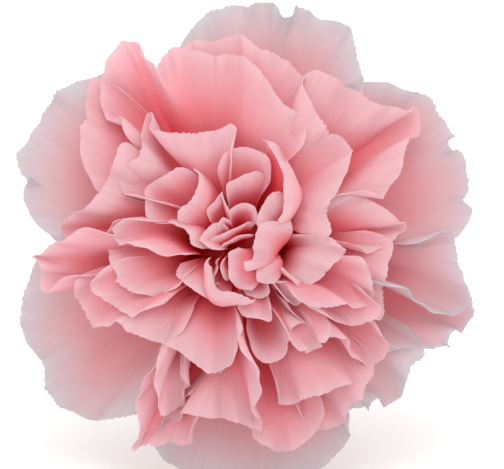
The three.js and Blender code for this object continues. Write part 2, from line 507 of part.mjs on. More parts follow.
/** A leaf: a narrow channelled blade along its midrib, widest in its lower third. */
function leafGrid({ joint, width, line }) {
  const foot = stemCurve.getPointAt(JOINTS[joint].at)
  const midrib = new THREE.CatmullRomCurve3(line.map(step => new THREE.Vector3(...step).add(foot)))
  const steps = 10
  const shares = [-1, -0.5, 0, 0.5, 1]
  return Array.from({ length: steps + 1 }, (_, j) => {
    const t = j / steps
    const centre = midrib.getPointAt(t)
    const along = midrib.getTangentAt(t)
    const across = along.clone().cross(new THREE.Vector3(0, 0, 1)).normalize()
    const up = across.clone().cross(along)
    const half = 0.5 * width * (0.12 + 0.88 * Math.sin(Math.PI * (0.18 + 0.8 * t) ** 0.8) ** 0.8)
    return shares.map(share => centre.clone()
      .addScaledVector(across, share * half)
      .addScaledVector(up, 0.35 * Math.abs(share) * half))
  })
}

function leafyStemGeometry() {
  const tube = new THREE.ExtrudeGeometry(roundShape(STEM.radius, STEM.sides), {
    steps: 30, bevelEnabled: false, extrudePath: stemCurve })
  const top = calyxFoot - GAP
  const receptacle = turned([
    [top - 6, 0], [top - 6, STEM.radius - 0.1], [top - 2, 3.1], [top, 3.1], [top, 0]], 12)
  const leaves = LEAVES.map(leaf => solid(blade(leafGrid(leaf), BLADE)))
  const joints = JOINTS.map(joint => solid(jointBulb(joint)))
  const stem = [solid(tube), solid(receptacle.applyMatrix4(bloomPlace)), ...joints]
  return geometryOf(unionOf([...stem, ...leaves]).subtract(underSurface))
}

// ---------------------------------------------------------------- the whole flower
const flower = new THREE.Group()
const pieces = [
  ['petals', petalsGeometry(), PETAL_PINK],
  ['calyx', calyxGeometry(), CALYX_GREEN],
  ['ovary', ovaryGeometry(), OVARY_GREEN],
  ['leafy_stem', leafyStemGeometry(), STEM_GREEN],
]
for (const [name, geometry, material] of pieces) {
  const mesh = new THREE.Mesh(geometry, material)
  mesh.name = name
  flower.add(mesh)
}

export default flower
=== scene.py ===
# %% [markdown]
# A cut carnation
#
# The flower lies on a pale table: a double bloom that faces us, a green calyx behind it and a
# short leafy stem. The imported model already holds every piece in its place, as plain facets.
# Here the same shapes are worked out again as fine surfaces, and each gets a finish of its own.

# %% The frame
import math

import bpy
import mathutils
import numpy as np
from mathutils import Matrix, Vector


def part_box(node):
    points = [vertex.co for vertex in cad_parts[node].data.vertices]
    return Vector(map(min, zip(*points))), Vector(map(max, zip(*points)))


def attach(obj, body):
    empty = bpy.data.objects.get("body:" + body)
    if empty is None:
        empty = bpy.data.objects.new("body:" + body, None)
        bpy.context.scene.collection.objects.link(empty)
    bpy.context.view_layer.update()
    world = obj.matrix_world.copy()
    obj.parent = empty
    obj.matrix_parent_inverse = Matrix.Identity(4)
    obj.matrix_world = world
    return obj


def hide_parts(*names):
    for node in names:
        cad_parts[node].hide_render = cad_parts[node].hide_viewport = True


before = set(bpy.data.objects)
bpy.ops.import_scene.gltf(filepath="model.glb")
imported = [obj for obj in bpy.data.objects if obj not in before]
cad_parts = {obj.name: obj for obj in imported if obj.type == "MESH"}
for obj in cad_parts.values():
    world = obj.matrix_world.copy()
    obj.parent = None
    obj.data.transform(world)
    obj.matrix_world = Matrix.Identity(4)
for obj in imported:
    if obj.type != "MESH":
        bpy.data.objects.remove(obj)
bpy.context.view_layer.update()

# %% [markdown]
# The bloom's own axes
#
# A flower is easiest to draw in axes of its own: the origin in the middle of the calyx mouth,
# x to the right, y up across the bloom and z out of it towards the reader. It is tipped back
# by a few degrees and stands with its lowest petal on the table. All drawing is in millimetres
# in those axes, and one function at the end places it in the frame, in metres.

# %% From the bloom's axes to the frame
TILT = math.radians(14)                  # the bloom looks up by this much
MOUTH = np.array([-1.2, -51.35, 38.5])   # centre of the calyx mouth in the frame, mm


def placed(points):
    """Frame metres for points (..., 3) in the bloom's axes: a turn about x, then the mouth."""
    x, y, z = points[..., 0], points[..., 1], points[..., 2]
    turned = np.stack([x, y * math.sin(TILT) - z * math.cos(TILT),
                       y * math.cos(TILT) + z * math.sin(TILT)], axis=-1)
    return (turned + MOUTH) / 1000


petal_low, petal_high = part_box("petals")
print("bloom in the packed model, mm:", [round((b - a) * 1000) for a, b in zip(petal_low, petal_high)])

# %% [markdown]
# The margins of the petals
#
# What the eye follows in a carnation is the crimped margin of each petal. So a petal is drawn
# by its margin: a few points, clockwise, as they are seen from the front. Each petal also has
# a lift, which is the height of its margin over a shallow dome, or several such heights spaced
# evenly along the margin. It has a lean, which is the slope at which the blade arrives there,
# outwards and up. A petal that rolls over towards the axis also has the size of its arch. The
# petals come in five rings: wide guards at the back, then outer, middle and inner ones, and
# small crumpled ones at the heart.

# %% The points of the margins
# Each petal, named by its ring and its hour on a clock face: lift in mm, lean in degrees,
# arch in mm, and the points of its margin in mm.
PETALS = {
    "guard_nine": (-1.5, -22, 0, [
        (-30, 0.5), (-33.1, 1.8), (-35.6, 4), (-37.8, 7.6), (-38.2, 10.4), (-37, 12), (-38.6, 13.2),
        (-38.8, 16), (-37.6, 18.5), (-35.5, 22.4), (-33.3, 26.2), (-29, 28.9), (-24.6, 30.6), (-19, 32)]),
    "guard_noon": (-0.5, -18, 0, [
        (-12, 33.5), (-9.7, 36.7), (-8.3, 38.9), (-5.3, 41.2), (-0.4, 43), (1, 42.4), (3.9, 43.6),
        (7.2, 42.1), (8, 41), (9, 42.3), (11.5, 42.4), (13.3, 40.8), (18.5, 39.4), (20.2, 37),
        (20.6, 33.5), (21.8, 29.5), (22, 26)]),
    "guard_two": (-1.5, -20, 0, [
        (16, 28.5), (21.7, 29.2), (24.7, 29.2), (28.2, 28), (33.1, 26.7), (35.4, 23.8), (36.9, 20.6),
        (37.6, 18.8), (37.1, 17.8), (38.7, 17.1), (40.1, 13.4), (40.4, 11), (39.1, 9), (40.3, 7.5),
        (40.3, 5.5), (39.1, 3), (35, 0)]),
    "guard_three": (1, -18, 0, [
        (33, 3), (37.5, 2.5), (38.3, 0.5), (38.4, -2.8), (39.3, -4.8), (40.6, -8.6), (39.8, -10.6),
        (37, -11.3), (34, -10.8), (31, -9.5), (28, -8), (25.6, -7.4)]),
    "guard_four": (-1.5, -20, 0, [
        (39, -5), (40.9, -9.9), (41.1, -12.1), (39.8, -14.3), (38.3, -14.2), (36.8, -15.5), (36.5, -17.2),
        (34.7, -17.6), (32, -18), (30.2, -17.4), (28.4, -17.6), (26.4, -18.6), (24.6, -20)]),
    "guard_five": (-1, -22, 0, [
        (33.5, -16), (31.6, -19.4), (30, -20.8), (29.3, -22.8), (28.8, -25.2), (28, -27), (26.6, -27.7),
        (24.6, -26.7), (23.5, -26.7), (22.4, -28.3), (21, -28), (19.2, -28.3), (16, -28.4)]),
    "guard_six": (0, -18, 0, [
        (18.6, -26), (19.5, -29.5), (19.6, -32.4), (18, -35.5), (15.4, -38), (11, -40.4), (5, -41.6),
        (-1, -41.8), (-7, -40.8), (-11.5, -38.8), (-14.2, -36.3), (-15.2, -34), (-15.4, -31)]),
    "guard_eight": (-1.5, -20, 0, [
        (-13, -26), (-17, -28.8), (-20.2, -29.6), (-24.1, -30.3), (-27.1, -30.3), (-29.9, -28.9),
        (-32.2, -27.1), (-34.3, -24), (-34.6, -20.4), (-37, -18), (-38.2, -14.4), (-38.4, -11),
        (-37.6, -6.8), (-36.4, -2.8), (-33, 0.5)]),
    "outer_seven": (2, -20, 0, [
        (-6, -31.5), (-8, -34), (-10.3, -34.9), (-13, -34.4), (-15.4, -34.9), (-16.4, -34.4),
        (-18.8, -35.1), (-18.4, -32), (-17.8, -29), (-17.4, -25.5), (-17, -22)]),
    "outer_nine": (3, -18, 0, [
        (-30.6, -6.6), (-32.3, -6.9), (-34.2, -7.7), (-35.5, -6.3), (-34.8, -4), (-35.6, -2.6),
        (-36.6, -1.5), (-34.7, -0.3), (-33, 1), (-30, 2.2), (-26, 2.6)]),
    "outer_eight": (0.5, -20, 0, [
        (-11, -17), (-14.4, -16.3), (-17, -15.2), (-19.2, -14.4), (-20.8, -13.3), (-22.4, -13.7),
        (-24.6, -14.2), (-26.6, -13), (-28, -10.8), (-29, -9.2), (-29.8, -7.4), (-31, -6.4)]),
    "outer_ten": (0, -22, 0, [
        (-24, 10), (-26.5, 12.7), (-27.8, 15.5), (-27.9, 19.5), (-27, 23.5), (-27, 27), (-26.2, 29.6),
        (-23, 30.6)]),
    "outer_noon": ([3, 4, 3, 1.5, 1], -16, 0, [
        (-12, 34.2), (-9, 36), (-5, 36.7), (-0.3, 37.5), (2, 36.4), (3.7, 34.9), (7, 33.8), (10.2, 31.5),
        (11.2, 30), (11.6, 27.8), (12.9, 24.8), (14.6, 22), (16.8, 19.6), (18.6, 19.1), (19.7, 17.4),
        (19.4, 15), (18.5, 12.4), (17, 10), (15.8, 8.4), (15.6, 6), (16.2, 3), (17.3, 1.4)]),
    "outer_top": ([-0.5, 2.5, 4, 4.5, 1], -16, 0, [
        (-21.6, 19.5), (-21.7, 21.7), (-23.4, 22.8), (-24.2, 25.3), (-24.5, 28.2), (-24.1, 31.2),
        (-22.3, 34.2), (-20, 36.4), (-18, 34.1), (-16.2, 32.2), (-15, 31.6), (-14.2, 32.6), (-13, 34.2),
        (-10.6, 34.9), (-7, 34.7), (-4.5, 34), (-1, 34.2), (1.6, 33), (4, 30.6), (5.4, 28.5), (7, 26.4),
        (9, 24.6), (11.3, 22.8), (13.2, 20.4)]),
    "outer_two": (2, -20, 0, [
        (10, 31.5), (13, 31), (17, 29.6), (21, 27.8), (23.5, 25.6), (27.5, 25), (31.2, 24.8),
        (31.6, 22.4), (29.8, 19), (28.6, 15.6), (27.6, 12.2), (25.6, 10.5), (23, 10.8), (20.5, 10.4)]),
    "outer_three": (0, -16, 0, [
        (26, 3.5), (26.8, 1.4), (26.6, -0.5), (25.7, -3.8), (25.3, -6.8), (25.4, -9.5), (25.2, -13),
        (24, -13.8)]),
    "outer_four": ([0, 1, 1, 0.5], -18, 0, [
        (25.4, -13.4), (26.2, -16.2), (25.9, -18.4), (24.8, -20.2), (22.5, -20.2), (20.5, -19.6),
        (19.3, -18), (17.8, -16.4), (15.5, -15.7), (13.6, -16.4)]),
    "outer_five": (1, -20, 0, [
        (24.5, -19.5), (23.8, -22), (22.4, -23.6), (21.4, -25.6), (20, -27), (19, -28.6), (17.9, -31.2),
        (16, -31.9), (13.6, -32.3), (11.6, -32)]),
    "outer_six": (1.2, -16, 0, [
        (14, -29.5), (13.5, -32), (11.4, -34), (9, -35.3), (6.5, -35.8), (4.6, -34.8), (3.6, -32.8),
        (2.6, -30)]),
    "outer_half_six": ([3.5, 3, 2.5, 0, -3], -16, 0, [
        (1.2, -20), (2.4, -23), (3.6, -27), (4.2, -30.4), (3.6, -32), (0.9, -31.1), (-2, -30.5),
        (-5.5, -29.7), (-9, -29.2), (-12.5, -30.6), (-13, -29.6), (-10.6, -27.8), (-7.6, -25.4),
        (-4.8, -22.8), (-2.6, -20.2)]),
    "outer_half_seven": ([-2, 0, 3, 3], -16, 0, [
        (-11.4, -16.6), (-10.5, -18.6), (-10.3, -21.4), (-9.8, -24.7), (-10.8, -26.4), (-11.5, -28.4),
        (-13, -29), (-14.7, -28.7), (-15.1, -26), (-14.9, -22.5), (-15.4, -19.5)]),
    "outer_half_five": ([1, 2.5, 2.5, 1], -14, 0, [
        (22.6, -22.2), (20.8, -23.7), (18.5, -24.1), (16.7, -24.7), (13.4, -25.7), (10.8, -26.7),
        (9.2, -27.8), (8.2, -28.4), (7.6, -26.4)]),
    "middle_nine": ([0, 0, 1.5], -5, 0, [
        (-19.5, 4.8), (-22, 4.6), (-23.4, 2.2), (-26.5, 0.8), (-29.9, 1.2), (-31.5, 3.5), (-30, 5.8),
        (-27, 7.6), (-24.7, 10), (-23.3, 12.6), (-22.1, 15.2), (-21.6, 17.6), (-22.4, 20)]),
    "middle_eleven": (1, -3, 0, [
        (-16.6, 9.8), (-18.3, 9.7), (-20, 10.2), (-21.2, 11.8), (-21.8, 14.2), (-20.4, 15.3),
        (-18.2, 15.8), (-17.2, 18), (-16.9, 21), (-16.1, 23.9), (-14.4, 21.6), (-12, 20.4), (-9, 20.3),
        (-5.5, 20.6), (-3.2, 21.1), (-1.8, 21.8), (0, 20.7), (0.1, 18.4)]),
    "middle_two": (0.5, -9, 0, [
        (16, 9), (18.5, 9.2), (21.5, 8.8), (24.5, 7.6), (27, 6), (29.4, 4.1), (28, 2.8), (26.6, 1.1),
        (24.6, 0), (22, -0.7), (19.6, -0.6), (18, 0)]),
    "middle_three": (1.5, -3, 0, [
        (14, 2.3), (17.6, 1), (18.5, -0.4), (17.5, -2), (15.4, -3.9), (14.7, -5), (13.4, -5.9),
        (11.8, -6.1), (11.2, -6.8), (10, -6.4), (9, -5.6), (8.5, -4)]),
    "middle_four": (2.5, -5, 0, [
        (18.8, -0.8), (20.8, -0.9), (22.2, -2.8), (23.2, -5.6), (23.4, -8), (23.6, -9.2), (22, -10),
        (18.5, -10.2), (14.5, -10.5), (12, -10.2), (10.6, -9.6)]),
    "middle_half_four": (1.8, -7, 0, [
        (24, -8), (24.9, -10.4), (24, -12.3), (22, -13.1), (19.5, -13.2), (17, -12.8), (14.6, -12.3),
        (12.5, -11.6)]),
    "middle_five": (2.5, -1, 0, [
        (16.8, -16), (14.8, -16.5), (13.8, -17.2), (13.4, -18.2), (12.2, -17.9), (11, -18.2),
        (9.8, -17.2), (9, -16)]),
    "middle_seven": (1.5, -7, 0, [
        (0.8, -16.9), (-0.4, -17.2), (-1.6, -18.8), (-2.2, -20.6), (-3.8, -21.7), (-6.5, -21.3),
        (-8.6, -19.8), (-10.6, -18.4), (-13, -17.2), (-15.6, -16.3), (-18, -15.3), (-20.4, -14.3),
        (-22, -13)]),
    "middle_eight": (2, -7, 0, [
        (-15.6, -11.8), (-18.6, -12.3), (-20, -11.6), (-22, -10.4), (-24, -9), (-25.9, -7.7), (-26.3, -6),
        (-25.5, -4.2), (-24.6, -2.6)]),
    "middle_half_nine": (0.5, -3, 0, [
        (-10.6, -6.2), (-12.3, -7.2), (-15.3, -7.9), (-17.8, -8.2), (-19.6, -7.4), (-21.8, -5.6),
        (-21.7, -4.6), (-22.8, -2.6), (-23.3, -0.7), (-23.6, 0.4), (-22.8, 1.8), (-21, 2.6)]),
    "middle_ten": (1.5, 1, 0, [
        (-10.8, -0.9), (-13, -1), (-16, -0.6), (-18.6, -0.2), (-20.6, 0.3), (-22.2, 1.8), (-22.4, 3.2),
        (-20.6, 4.1), (-18, 4.6)]),
    "inner_ten": (0, 20, 0, [
        (-13, 4.6), (-14.8, 4.6), (-16.4, 5.4), (-16.7, 7.4), (-16.6, 9), (-16.7, 10.3), (-15.8, 11.3),
        (-14, 12.5), (-11.5, 14), (-9, 15.7)]),
    "inner_eleven": (1, 25, 0, [
        (-12.6, 5.7), (-10.5, 6.9), (-9.1, 7.9), (-8, 9.6), (-7.6, 11.2), (-7.9, 12.8), (-8.6, 14.1),
        (-9.3, 15.5)]),
    "inner_noon": (0, 20, 0, [
        (-4.5, 16.3), (-2, 17.1), (0.5, 17.8), (3, 17.2), (5, 16.2), (6.4, 14.4)]),
    "inner_one": (2.5, -8, 5, [
        (3.4, 19.6), (4.8, 18.2), (5.9, 16.6), (6.8, 14.8), (7.6, 13), (7.8, 11), (7.8, 9), (7.7, 7.6),
        (7.1, 6.3), (6, 5.3)]),
    "inner_three": (1, -2, 8, [
        (7.2, 5.8), (5.6, 5.1), (4.3, 4.6), (3.3, 3.9), (2.8, 2.8), (2.5, 1.4), (2.2, 0), (2.3, -1.4),
        (1.3, -2.3), (0.6, -3.1), (1.6, -3.2), (2.8, -2.7), (3.2, -3.5), (2.9, -4.8), (3, -6),
        (3.8, -6.9), (4.8, -7.2)]),
    "inner_half_noon": (0, 35, 0, [
        (-2.6, 10), (-2.1, 11.4), (-0.8, 12.1), (0.6, 13), (2, 13.4), (3.4, 14.4)]),
    "inner_two": (0.5, 0, 6, [
        (8.8, 9.4), (7.6, 9.9), (6, 9.9), (4.9, 9.1), (4, 7.6), (3.2, 6.2), (2.3, 4.9)]),
    "inner_four": (0, 10, 0, [
        (5.4, -6.7), (7.4, -6.2), (9.3, -6.1), (10.2, -7.4), (10.5, -10), (9.4, -9.4), (7.4, -8.4),
        (6, -7.2)]),
    "inner_five": (0.5, 45, 0, [
        (10, -10.6), (11.2, -12), (12.2, -14), (10.7, -13.2), (8.9, -14.2), (8.8, -15.8), (7.7, -17.3),
        (7.6, -19.2), (5.4, -20.3), (3.2, -20.1), (2.2, -18.5), (1, -17.2)]),
    "inner_six": (0, 30, 0, [
        (5.8, -11), (5.4, -12.9), (3, -12.6), (1.2, -12.2), (-0.5, -11.8)]),
    "inner_seven": (1, -8, 5, [
        (3.4, -8.8), (1.4, -8.6), (-0.6, -8), (-2.6, -7.9), (-4, -7.2), (-4.5, -6.2), (-4.7, -4.8),
        (-4.9, -3.2), (-5.2, -2.2), (-4.6, -1.4)]),
    "inner_eight": (0, 20, 0, [
        (-1.5, -10.6), (-4, -9.8), (-6.5, -8.5), (-9, -6.8), (-11, -5), (-12.9, -3.1)]),
    "inner_nine": (0, 30, 0, [
        (-7.4, -0.4), (-8.6, 0.6), (-9.1, 2.2), (-10, 3.7), (-12, 4.9), (-14, 5.4)]),
    "heart_nine": (0.5, 20, 0, [
        (-3.6, -0.4), (-5, -0.3), (-6.3, 0.5), (-7.2, 1.4), (-6.4, 2.8), (-5.4, 3.8), (-4.4, 4.5),
        (-3.4, 4)]),
    "heart_ten": (0, 60, 0, [
        (-6, 5.2), (-5.6, 7), (-4, 8.4), (-3.2, 10), (-2.4, 9.2), (-1.8, 7.2)]),
    "heart_noon": (0, 50, 0, [
        (-1.8, 5.4), (-1.2, 6.9), (0.4, 7.8), (2.4, 7.4), (3.6, 6)]),
    "heart_one": (0, 60, 0, [
        (-3.8, -0.2), (-2.9, 1.1), (-1.5, 1.9), (0, 2.4), (1.6, 2.6), (2.7, 2.2)]),
    "heart_two": (0, -3, 8, [
        (-1.4, 0.6), (-2.1, -0.6), (-2.1, -2.2), (-2, -3.8), (-1.9, -5), (-1.1, -6.3), (0, -7.4),
        (0.9, -8.2)]),
    "heart_eleven": (0, 60, 0, [
        (-3.9, 3.2), (-3.8, 4.6), (-3, 5.6), (-2, 5.2)]),
    "heart_half_noon": (0, 35, 0, [
        (-6.6, 1), (-5.2, 1.7), (-3.5, 2.3), (-1.5, 3), (0.2, 3.9), (1.6, 4.5), (3.2, 4.7)]),
    "heart_half_five": (-0.5, 35, 0, [
        (5.4, -6.8), (5.1, -8), (3.8, -8.7), (2.4, -8.5), (1.2, -8.2), (0.6, -7.2)]),
    "heart_four": (-1, 50, 0, [
        (3.1, -3.3), (1.9, -4.1), (1, -5.2), (0.5, -6.2)]),
    "heart_eight": (0, 20, 2, [
        (-3.4, -6.4), (-4.3, -6.3), (-4.5, -5.2), (-4.1, -4.2), (-4, -3.2), (-4.3, -2.3), (-3.6, -1.7)]),
    "heart_seven": (0, 50, 0, [
        (-2.6, -6), (-3.4, -4.8), (-3.6, -3.2), (-3.2, -2)]),
}
print(len(PETALS), "petals")

# %% [markdown]
# Smooth lines through points
#
# Few points are enough when the line between them is smooth. A centripetal Catmull-Rom curve
# passes through every point without loops or overshoot, even where the points crowd at a
# fold. Resampled at equal steps of its length, it gives the columns of a petal's grid.

# %% A smooth line
TINY = 1e-6                              # added to a divisor that may be 0


def step_lengths(points):
    """Distances from each row of points to the next one."""
    return np.linalg.norm(np.diff(points, axis=0), axis=-1)


def length_along(line):
    """For each point of a line, the length of the line up to it."""
    return np.concatenate([[0], np.cumsum(step_lengths(line))])


def smooth_line(points, count, steps=24):
    """A centripetal Catmull-Rom curve through the points, at `count` equal steps of length.

    Between two points it blends three straight lines twice, with knots whose spacing is the
    root of the distance between points. The ends are mirrored to start and stop the curve.
    """
    p = np.asarray(points, float)
    p = np.vstack([2 * p[0] - p[1], p, 2 * p[-1] - p[-2]])
    gap = np.sqrt(step_lengths(p)) + TINY
    knot = np.concatenate([[0], np.cumsum(gap)])
    k0, k1, k2, k3 = (knot[i:len(knot) - 3 + i, None, None] for i in range(4))
    p0, p1, p2, p3 = (p[i:len(p) - 3 + i, None, :] for i in range(4))
    t = k1 + (k2 - k1) * np.linspace(0, 1, steps, endpoint=False)[None, :, None]
    a1 = (k1 - t) / (k1 - k0) * p0 + (t - k0) / (k1 - k0) * p1
    a2 = (k2 - t) / (k2 - k1) * p1 + (t - k1) / (k2 - k1) * p2
    a3 = (k3 - t) / (k3 - k2) * p2 + (t - k2) / (k3 - k2) * p3
    b1 = (k2 - t) / (k2 - k0) * a1 + (t - k0) / (k2 - k0) * a2
    b2 = (k3 - t) / (k3 - k1) * a2 + (t - k1) / (k3 - k1) * a3
    curve = ((k2 - t) / (k2 - k1) * b1 + (t - k1) / (k2 - k1) * b2).reshape(-1, p.shape[1])
    curve = np.vstack([curve, p[-2]])
    length = length_along(curve)
    wanted = np.linspace(0, length[-1], count)
    return np.column_stack([np.interp(wanted, length, column) for column in curve.T]), length[-1]


def calmed(line, reach):
    """The line with its small folds smoothed out, by a triangular running mean; ends kept.

    The mean reaches over at most a third of the line to each side.
    """
    reach = min(reach, (len(line) - 2) // 3)
    weights = np.bartlett(2 * reach + 3)[1:-1]
    weights /= weights.sum()
    before = 2 * line[0] - line[reach:0:-1]
    after = 2 * line[-1] - line[-2:-reach - 2:-1]
    padded = np.vstack([before, line, after])
    return np.column_stack([np.convolve(column, weights, "valid") for column in padded.T])


_, some_length = smooth_line(PETALS["outer_top"][-1], 60)
print("margin of one petal:", round(some_length), "mm long")

# %% [markdown]
# The surface of a petal
#
# A real petal is a narrow claw that opens into a wide blade, and it bends outwards as it
# rises. It could be sculpted or simulated as cloth, but then the margins would wander away
# from where they are drawn. Instead it is a sheaf of ribs: every rib is a Bezier curve from
# the root in the core to its own place on the margin. The ribs make the sheet's rows and
# columns. The blade aims at a calmed margin, and the folds of the true margin grow in only
# towards the top, as they do in a real petal, which is crimped along its edge and smooth below.

# %% Rings and the dome
DOME_RIM, DOME_RISE, DOME_RADIUS = 5.0, 25.0, 42.0     # mm: height of its rim, its rise, its radius
EYE = np.array([2.1, 2.4, 700.0])        # the margins are drawn as seen from here

# Each ring of petals, in mm: radius, height and width of its roots on the core, the reach over
# which a blade is calmed and which gives its margin a direction, how far its lip curls out, how
# high its ruffles are and how deep its teeth.
RING_SIZES = ("radius", "height", "root", "calm", "lip", "ruffle", "teeth")
RINGS = {ring: dict(zip(RING_SIZES, sizes)) for ring, sizes in {
    "guard": (7.2, 2.6, 4.0, 18, 0.0, 0.85, 0.45),
    "outer": (7.4, 5.5, 4.4, 16, 1.4, 1.1, 0.4),
    "middle": (6.4, 9.5, 4.2, 13, 1.3, 0.95, 0.32),
    "inner": (4.2, 13.0, 3.0, 7, 0.9, 0.55, 0.2),
    "heart": (2.0, 15.5, 2.2, 4, 0.6, 0.45, 0.1),
}.items()}
ROWS = 26                                # rows of the sheet from root to margin
CROWDED = 1.4                            # power that crowds the rows towards the margin
COLUMNS_PER_MM = 4                       # columns of the sheet along the margin
FEWEST_COLUMNS = 24
SINK = 0.7                               # how much lower a margin is where it folds outwards


def dome(x, y):
    """Height of the dome: it falls with the square of the distance from the axis."""
    return DOME_RIM + DOME_RISE * (1 - (x * x + y * y) / DOME_RADIUS ** 2)


def seen_at(level, height):
    """Points that the eye sees at `level` in the plane z = 0, moved to their height."""
    nearer = (1 - height / EYE[2])[:, None]
    return np.column_stack([EYE[:2] + (level - EYE[:2]) * nearer, height])


def unit(vectors):
    """The rows of an array as vectors of length 1."""
    return vectors / np.linalg.norm(vectors, axis=1)[:, None]


print("dome:", dome(0, 0), "mm high on the axis, for", len(RINGS), "rings")

# %% A margin in space


def margin_lines(drawn, lift, calm_reach):
    """The margin in space, its calmed form, the level direction out of it, and its length.

    A point's height is that of the dome, plus the lift, less a share of its fold outwards.
    """
    drawn = np.asarray(drawn, float)
    count = max(FEWEST_COLUMNS, int(step_lengths(drawn).sum() * COLUMNS_PER_MM))
    line, length = smooth_line(drawn, count)
    side = max(1, round(calm_reach * (count - 1) / length))
    calm = calmed(line, side)
    i = np.arange(count)
    chord = calm[np.minimum(i + side, count - 1)] - calm[np.maximum(i - side, 0)]
    normal = unit(np.column_stack([-chord[:, 1], chord[:, 0]]))
    fold = ((line - calm) * normal).sum(axis=1)
    levels = np.atleast_1d(lift)
    lifted = np.interp(i / (count - 1), np.linspace(0, 1, len(levels)), levels)
    height = dome(*line.T) + lifted - SINK * fold
    return seen_at(line, height), seen_at(calm, dome(*calm.T) + lifted), normal, length


some_heights = margin_lines(PETALS["outer_top"][-1], 0, RINGS["outer"]["calm"])[0][:, 2]
print("heights along one margin, mm:", some_heights.min().round(1), "to", some_heights.max().round(1))

# %% [markdown]
# Ribs from root to margin
#
# A rib leaves the core steeply and bends out to arrive at the margin with the petal's lean.
# Its two handles are shares of the way that it has to go. The petals that roll over towards
# the axis stand on the outer side of their own margin: their ribs go up, over an arch and
# down to it from behind. The last ribs at both ends of a margin stop short, which rounds the
# corners of the blade.

# %% Handles, corners and folds
RISE_OUT, RISE_UP = 0.14, 0.68           # first handle: its shares of the way out and up
HOLD, HOLD_MORE = 0.55, 1.0              # second handle: its share of the way out, and mm more
SQUARE = 0.5                             # weight of the margin's own direction in a blade's
BODY = 1.4                               # share of the arch by which an arched blade stands out
SHIFT = 0.2                              # share of it by which its root is further out and lower
ARCH_ENDS = 0.4                          # share of the arch that is left at the margin's ends
LIP_DROP, LIP_REACH = 0.25, 2.2          # how far a lip drops and reaches down, for its curl of 1
LONG_ENOUGH = 6.0                        # mm that a blade must reach out for its lip to be full
FOLD_POWER = 1.5                         # power of the height share with which folds grow
FOLD_REACH = 1.1                         # reach of the folds' calming for each mm below the margin
CORNER_MM, CORNER_SHARE = 3.0, 0.2       # the rounded ends: their radius, and at most this share


def root_arc(margin, normal, over, ring):
    """Where the ribs start: a short arc round the core, turned towards the petal's middle."""
    middle = (margin[:, :2] + BODY * over * normal).mean(axis=0)
    radius = ring["radius"] + SHIFT * over
    across = np.linspace(0.5, -0.5, len(margin)) * ring["root"]
    angle = math.atan2(middle[1], middle[0]) + across / radius
    level = np.full(len(margin), ring["height"] - SHIFT * over)
    return np.column_stack([radius * np.cos(angle), radius * np.sin(angle), level])


def rib_shares(share, length, ribs):
    """How far up its rib each point is: crowded towards the margin, less near its ends."""
    corner = min(CORNER_MM, CORNER_SHARE * length)
    edge = np.minimum(share, 1 - share) * length
    short = corner * (1 - np.clip(edge / corner, 0, 1)) ** 2 / ribs
    rows = 1 - (1 - np.linspace(0, 1, ROWS)) ** CROWDED
    return rows[:, None, None] * (1 - short[:, None])


def fold_rows(folds, depths, step):
    """The margin's folds for each row: as far below the margin as it is, so far are they calmed."""
    reaches = np.round(FOLD_REACH * depths / step).astype(int)
    return np.stack([calmed(folds, reach) for reach in reaches])


def to_margin(sheet):
    """Distance of every point from the margin, measured up its own rib."""
    from_end = np.cumsum(step_lengths(sheet)[::-1], axis=0)
    return np.vstack([from_end[::-1], np.zeros((1, sheet.shape[1]))])


some_rib = rib_shares(np.array([0.5]), some_length, 1)[:, 0, 0]
print("a rib's last points, as shares of its height:", some_rib[-4:].round(3))

# %% [markdown]
# Crimps and teeth
#
# Two scales of detail are finer than the drawn points. The blade near the margin is crimped,
# in waves of fifteen, eight and four millimetres. The longest are about a millimetre high at
# the margin, and all die away below it. The margin itself is cut into small teeth, a little
# over a millimetre apart. They come from sines and a zigzag, with phases drawn once for each
# petal from a seeded generator, so that no two petals match and every run gives the same flower.

# %% Waves and a toothed margin
# The waves: length in mm, share of the ring's ruffle, depth in mm at which they have died
# away, the power of that fall, and how far they turn on their way up, in radians.
WAVES = [(15, 1.0, 16, 1.5, 2), (7.7, 0.4, 7, 1.5, -2), (4.3, 0.4, 7, 3, 1)]
# A slow wave half-way up: its length, 4 times its height, both in mm, and how far it turns.
BELLY_WAVE, BELLY, BELLY_TURN = 21, 1.2, 2
# Teeth: mm from one to the next, mm that they reach down, and the power with which they fade.
TOOTH, TOOTH_REACH, TOOTH_POWER = 1.15, 1.2, 1.5
# Sines along the margin, two that shift the teeth and one that changes their depth: the size,
# in teeth or as a share, and mm to the radian.
SHIFTS, DEEPER = [(0.5, 2.1), (0.3, 0.83)], (0.4, 2.7)


def sheet_normals(sheet):
    """Unit normals of a grid: the cross product of its two directions, which points outwards."""
    normals = np.cross(np.gradient(sheet, axis=1), np.gradient(sheet, axis=0))
    return normals / (np.linalg.norm(normals, axis=2, keepdims=True) + TINY ** 2)


def near_margin(below, reach, power):
    """1 at the margin, falling to 0 at the reach below it, with a power of what is left."""
    return np.clip(1 - below / reach, 0, 1) ** power


def crests(along, v, wave, turning, start):
    """A sine along the margin that turns on its way up the blade."""
    return np.sin(2 * math.pi * along / wave + turning * v + start)


def teeth(below, along, phase):
    """Half a tooth up or down for each point: a zigzag whose step and depth wander a little."""
    wander = sum(size * np.sin(along / pace + start)
                 for (size, pace), start in zip(SHIFTS, (phase[5], phase[3])))
    zigzag = np.abs((along / TOOTH + wander) % 1.0 * 2 - 1)
    size, pace = DEEPER
    depth = 1 - size + size * np.sin(along / pace + phase[4])
    return near_margin(below, TOOTH_REACH, TOOTH_POWER) * depth * (zigzag - 0.5)


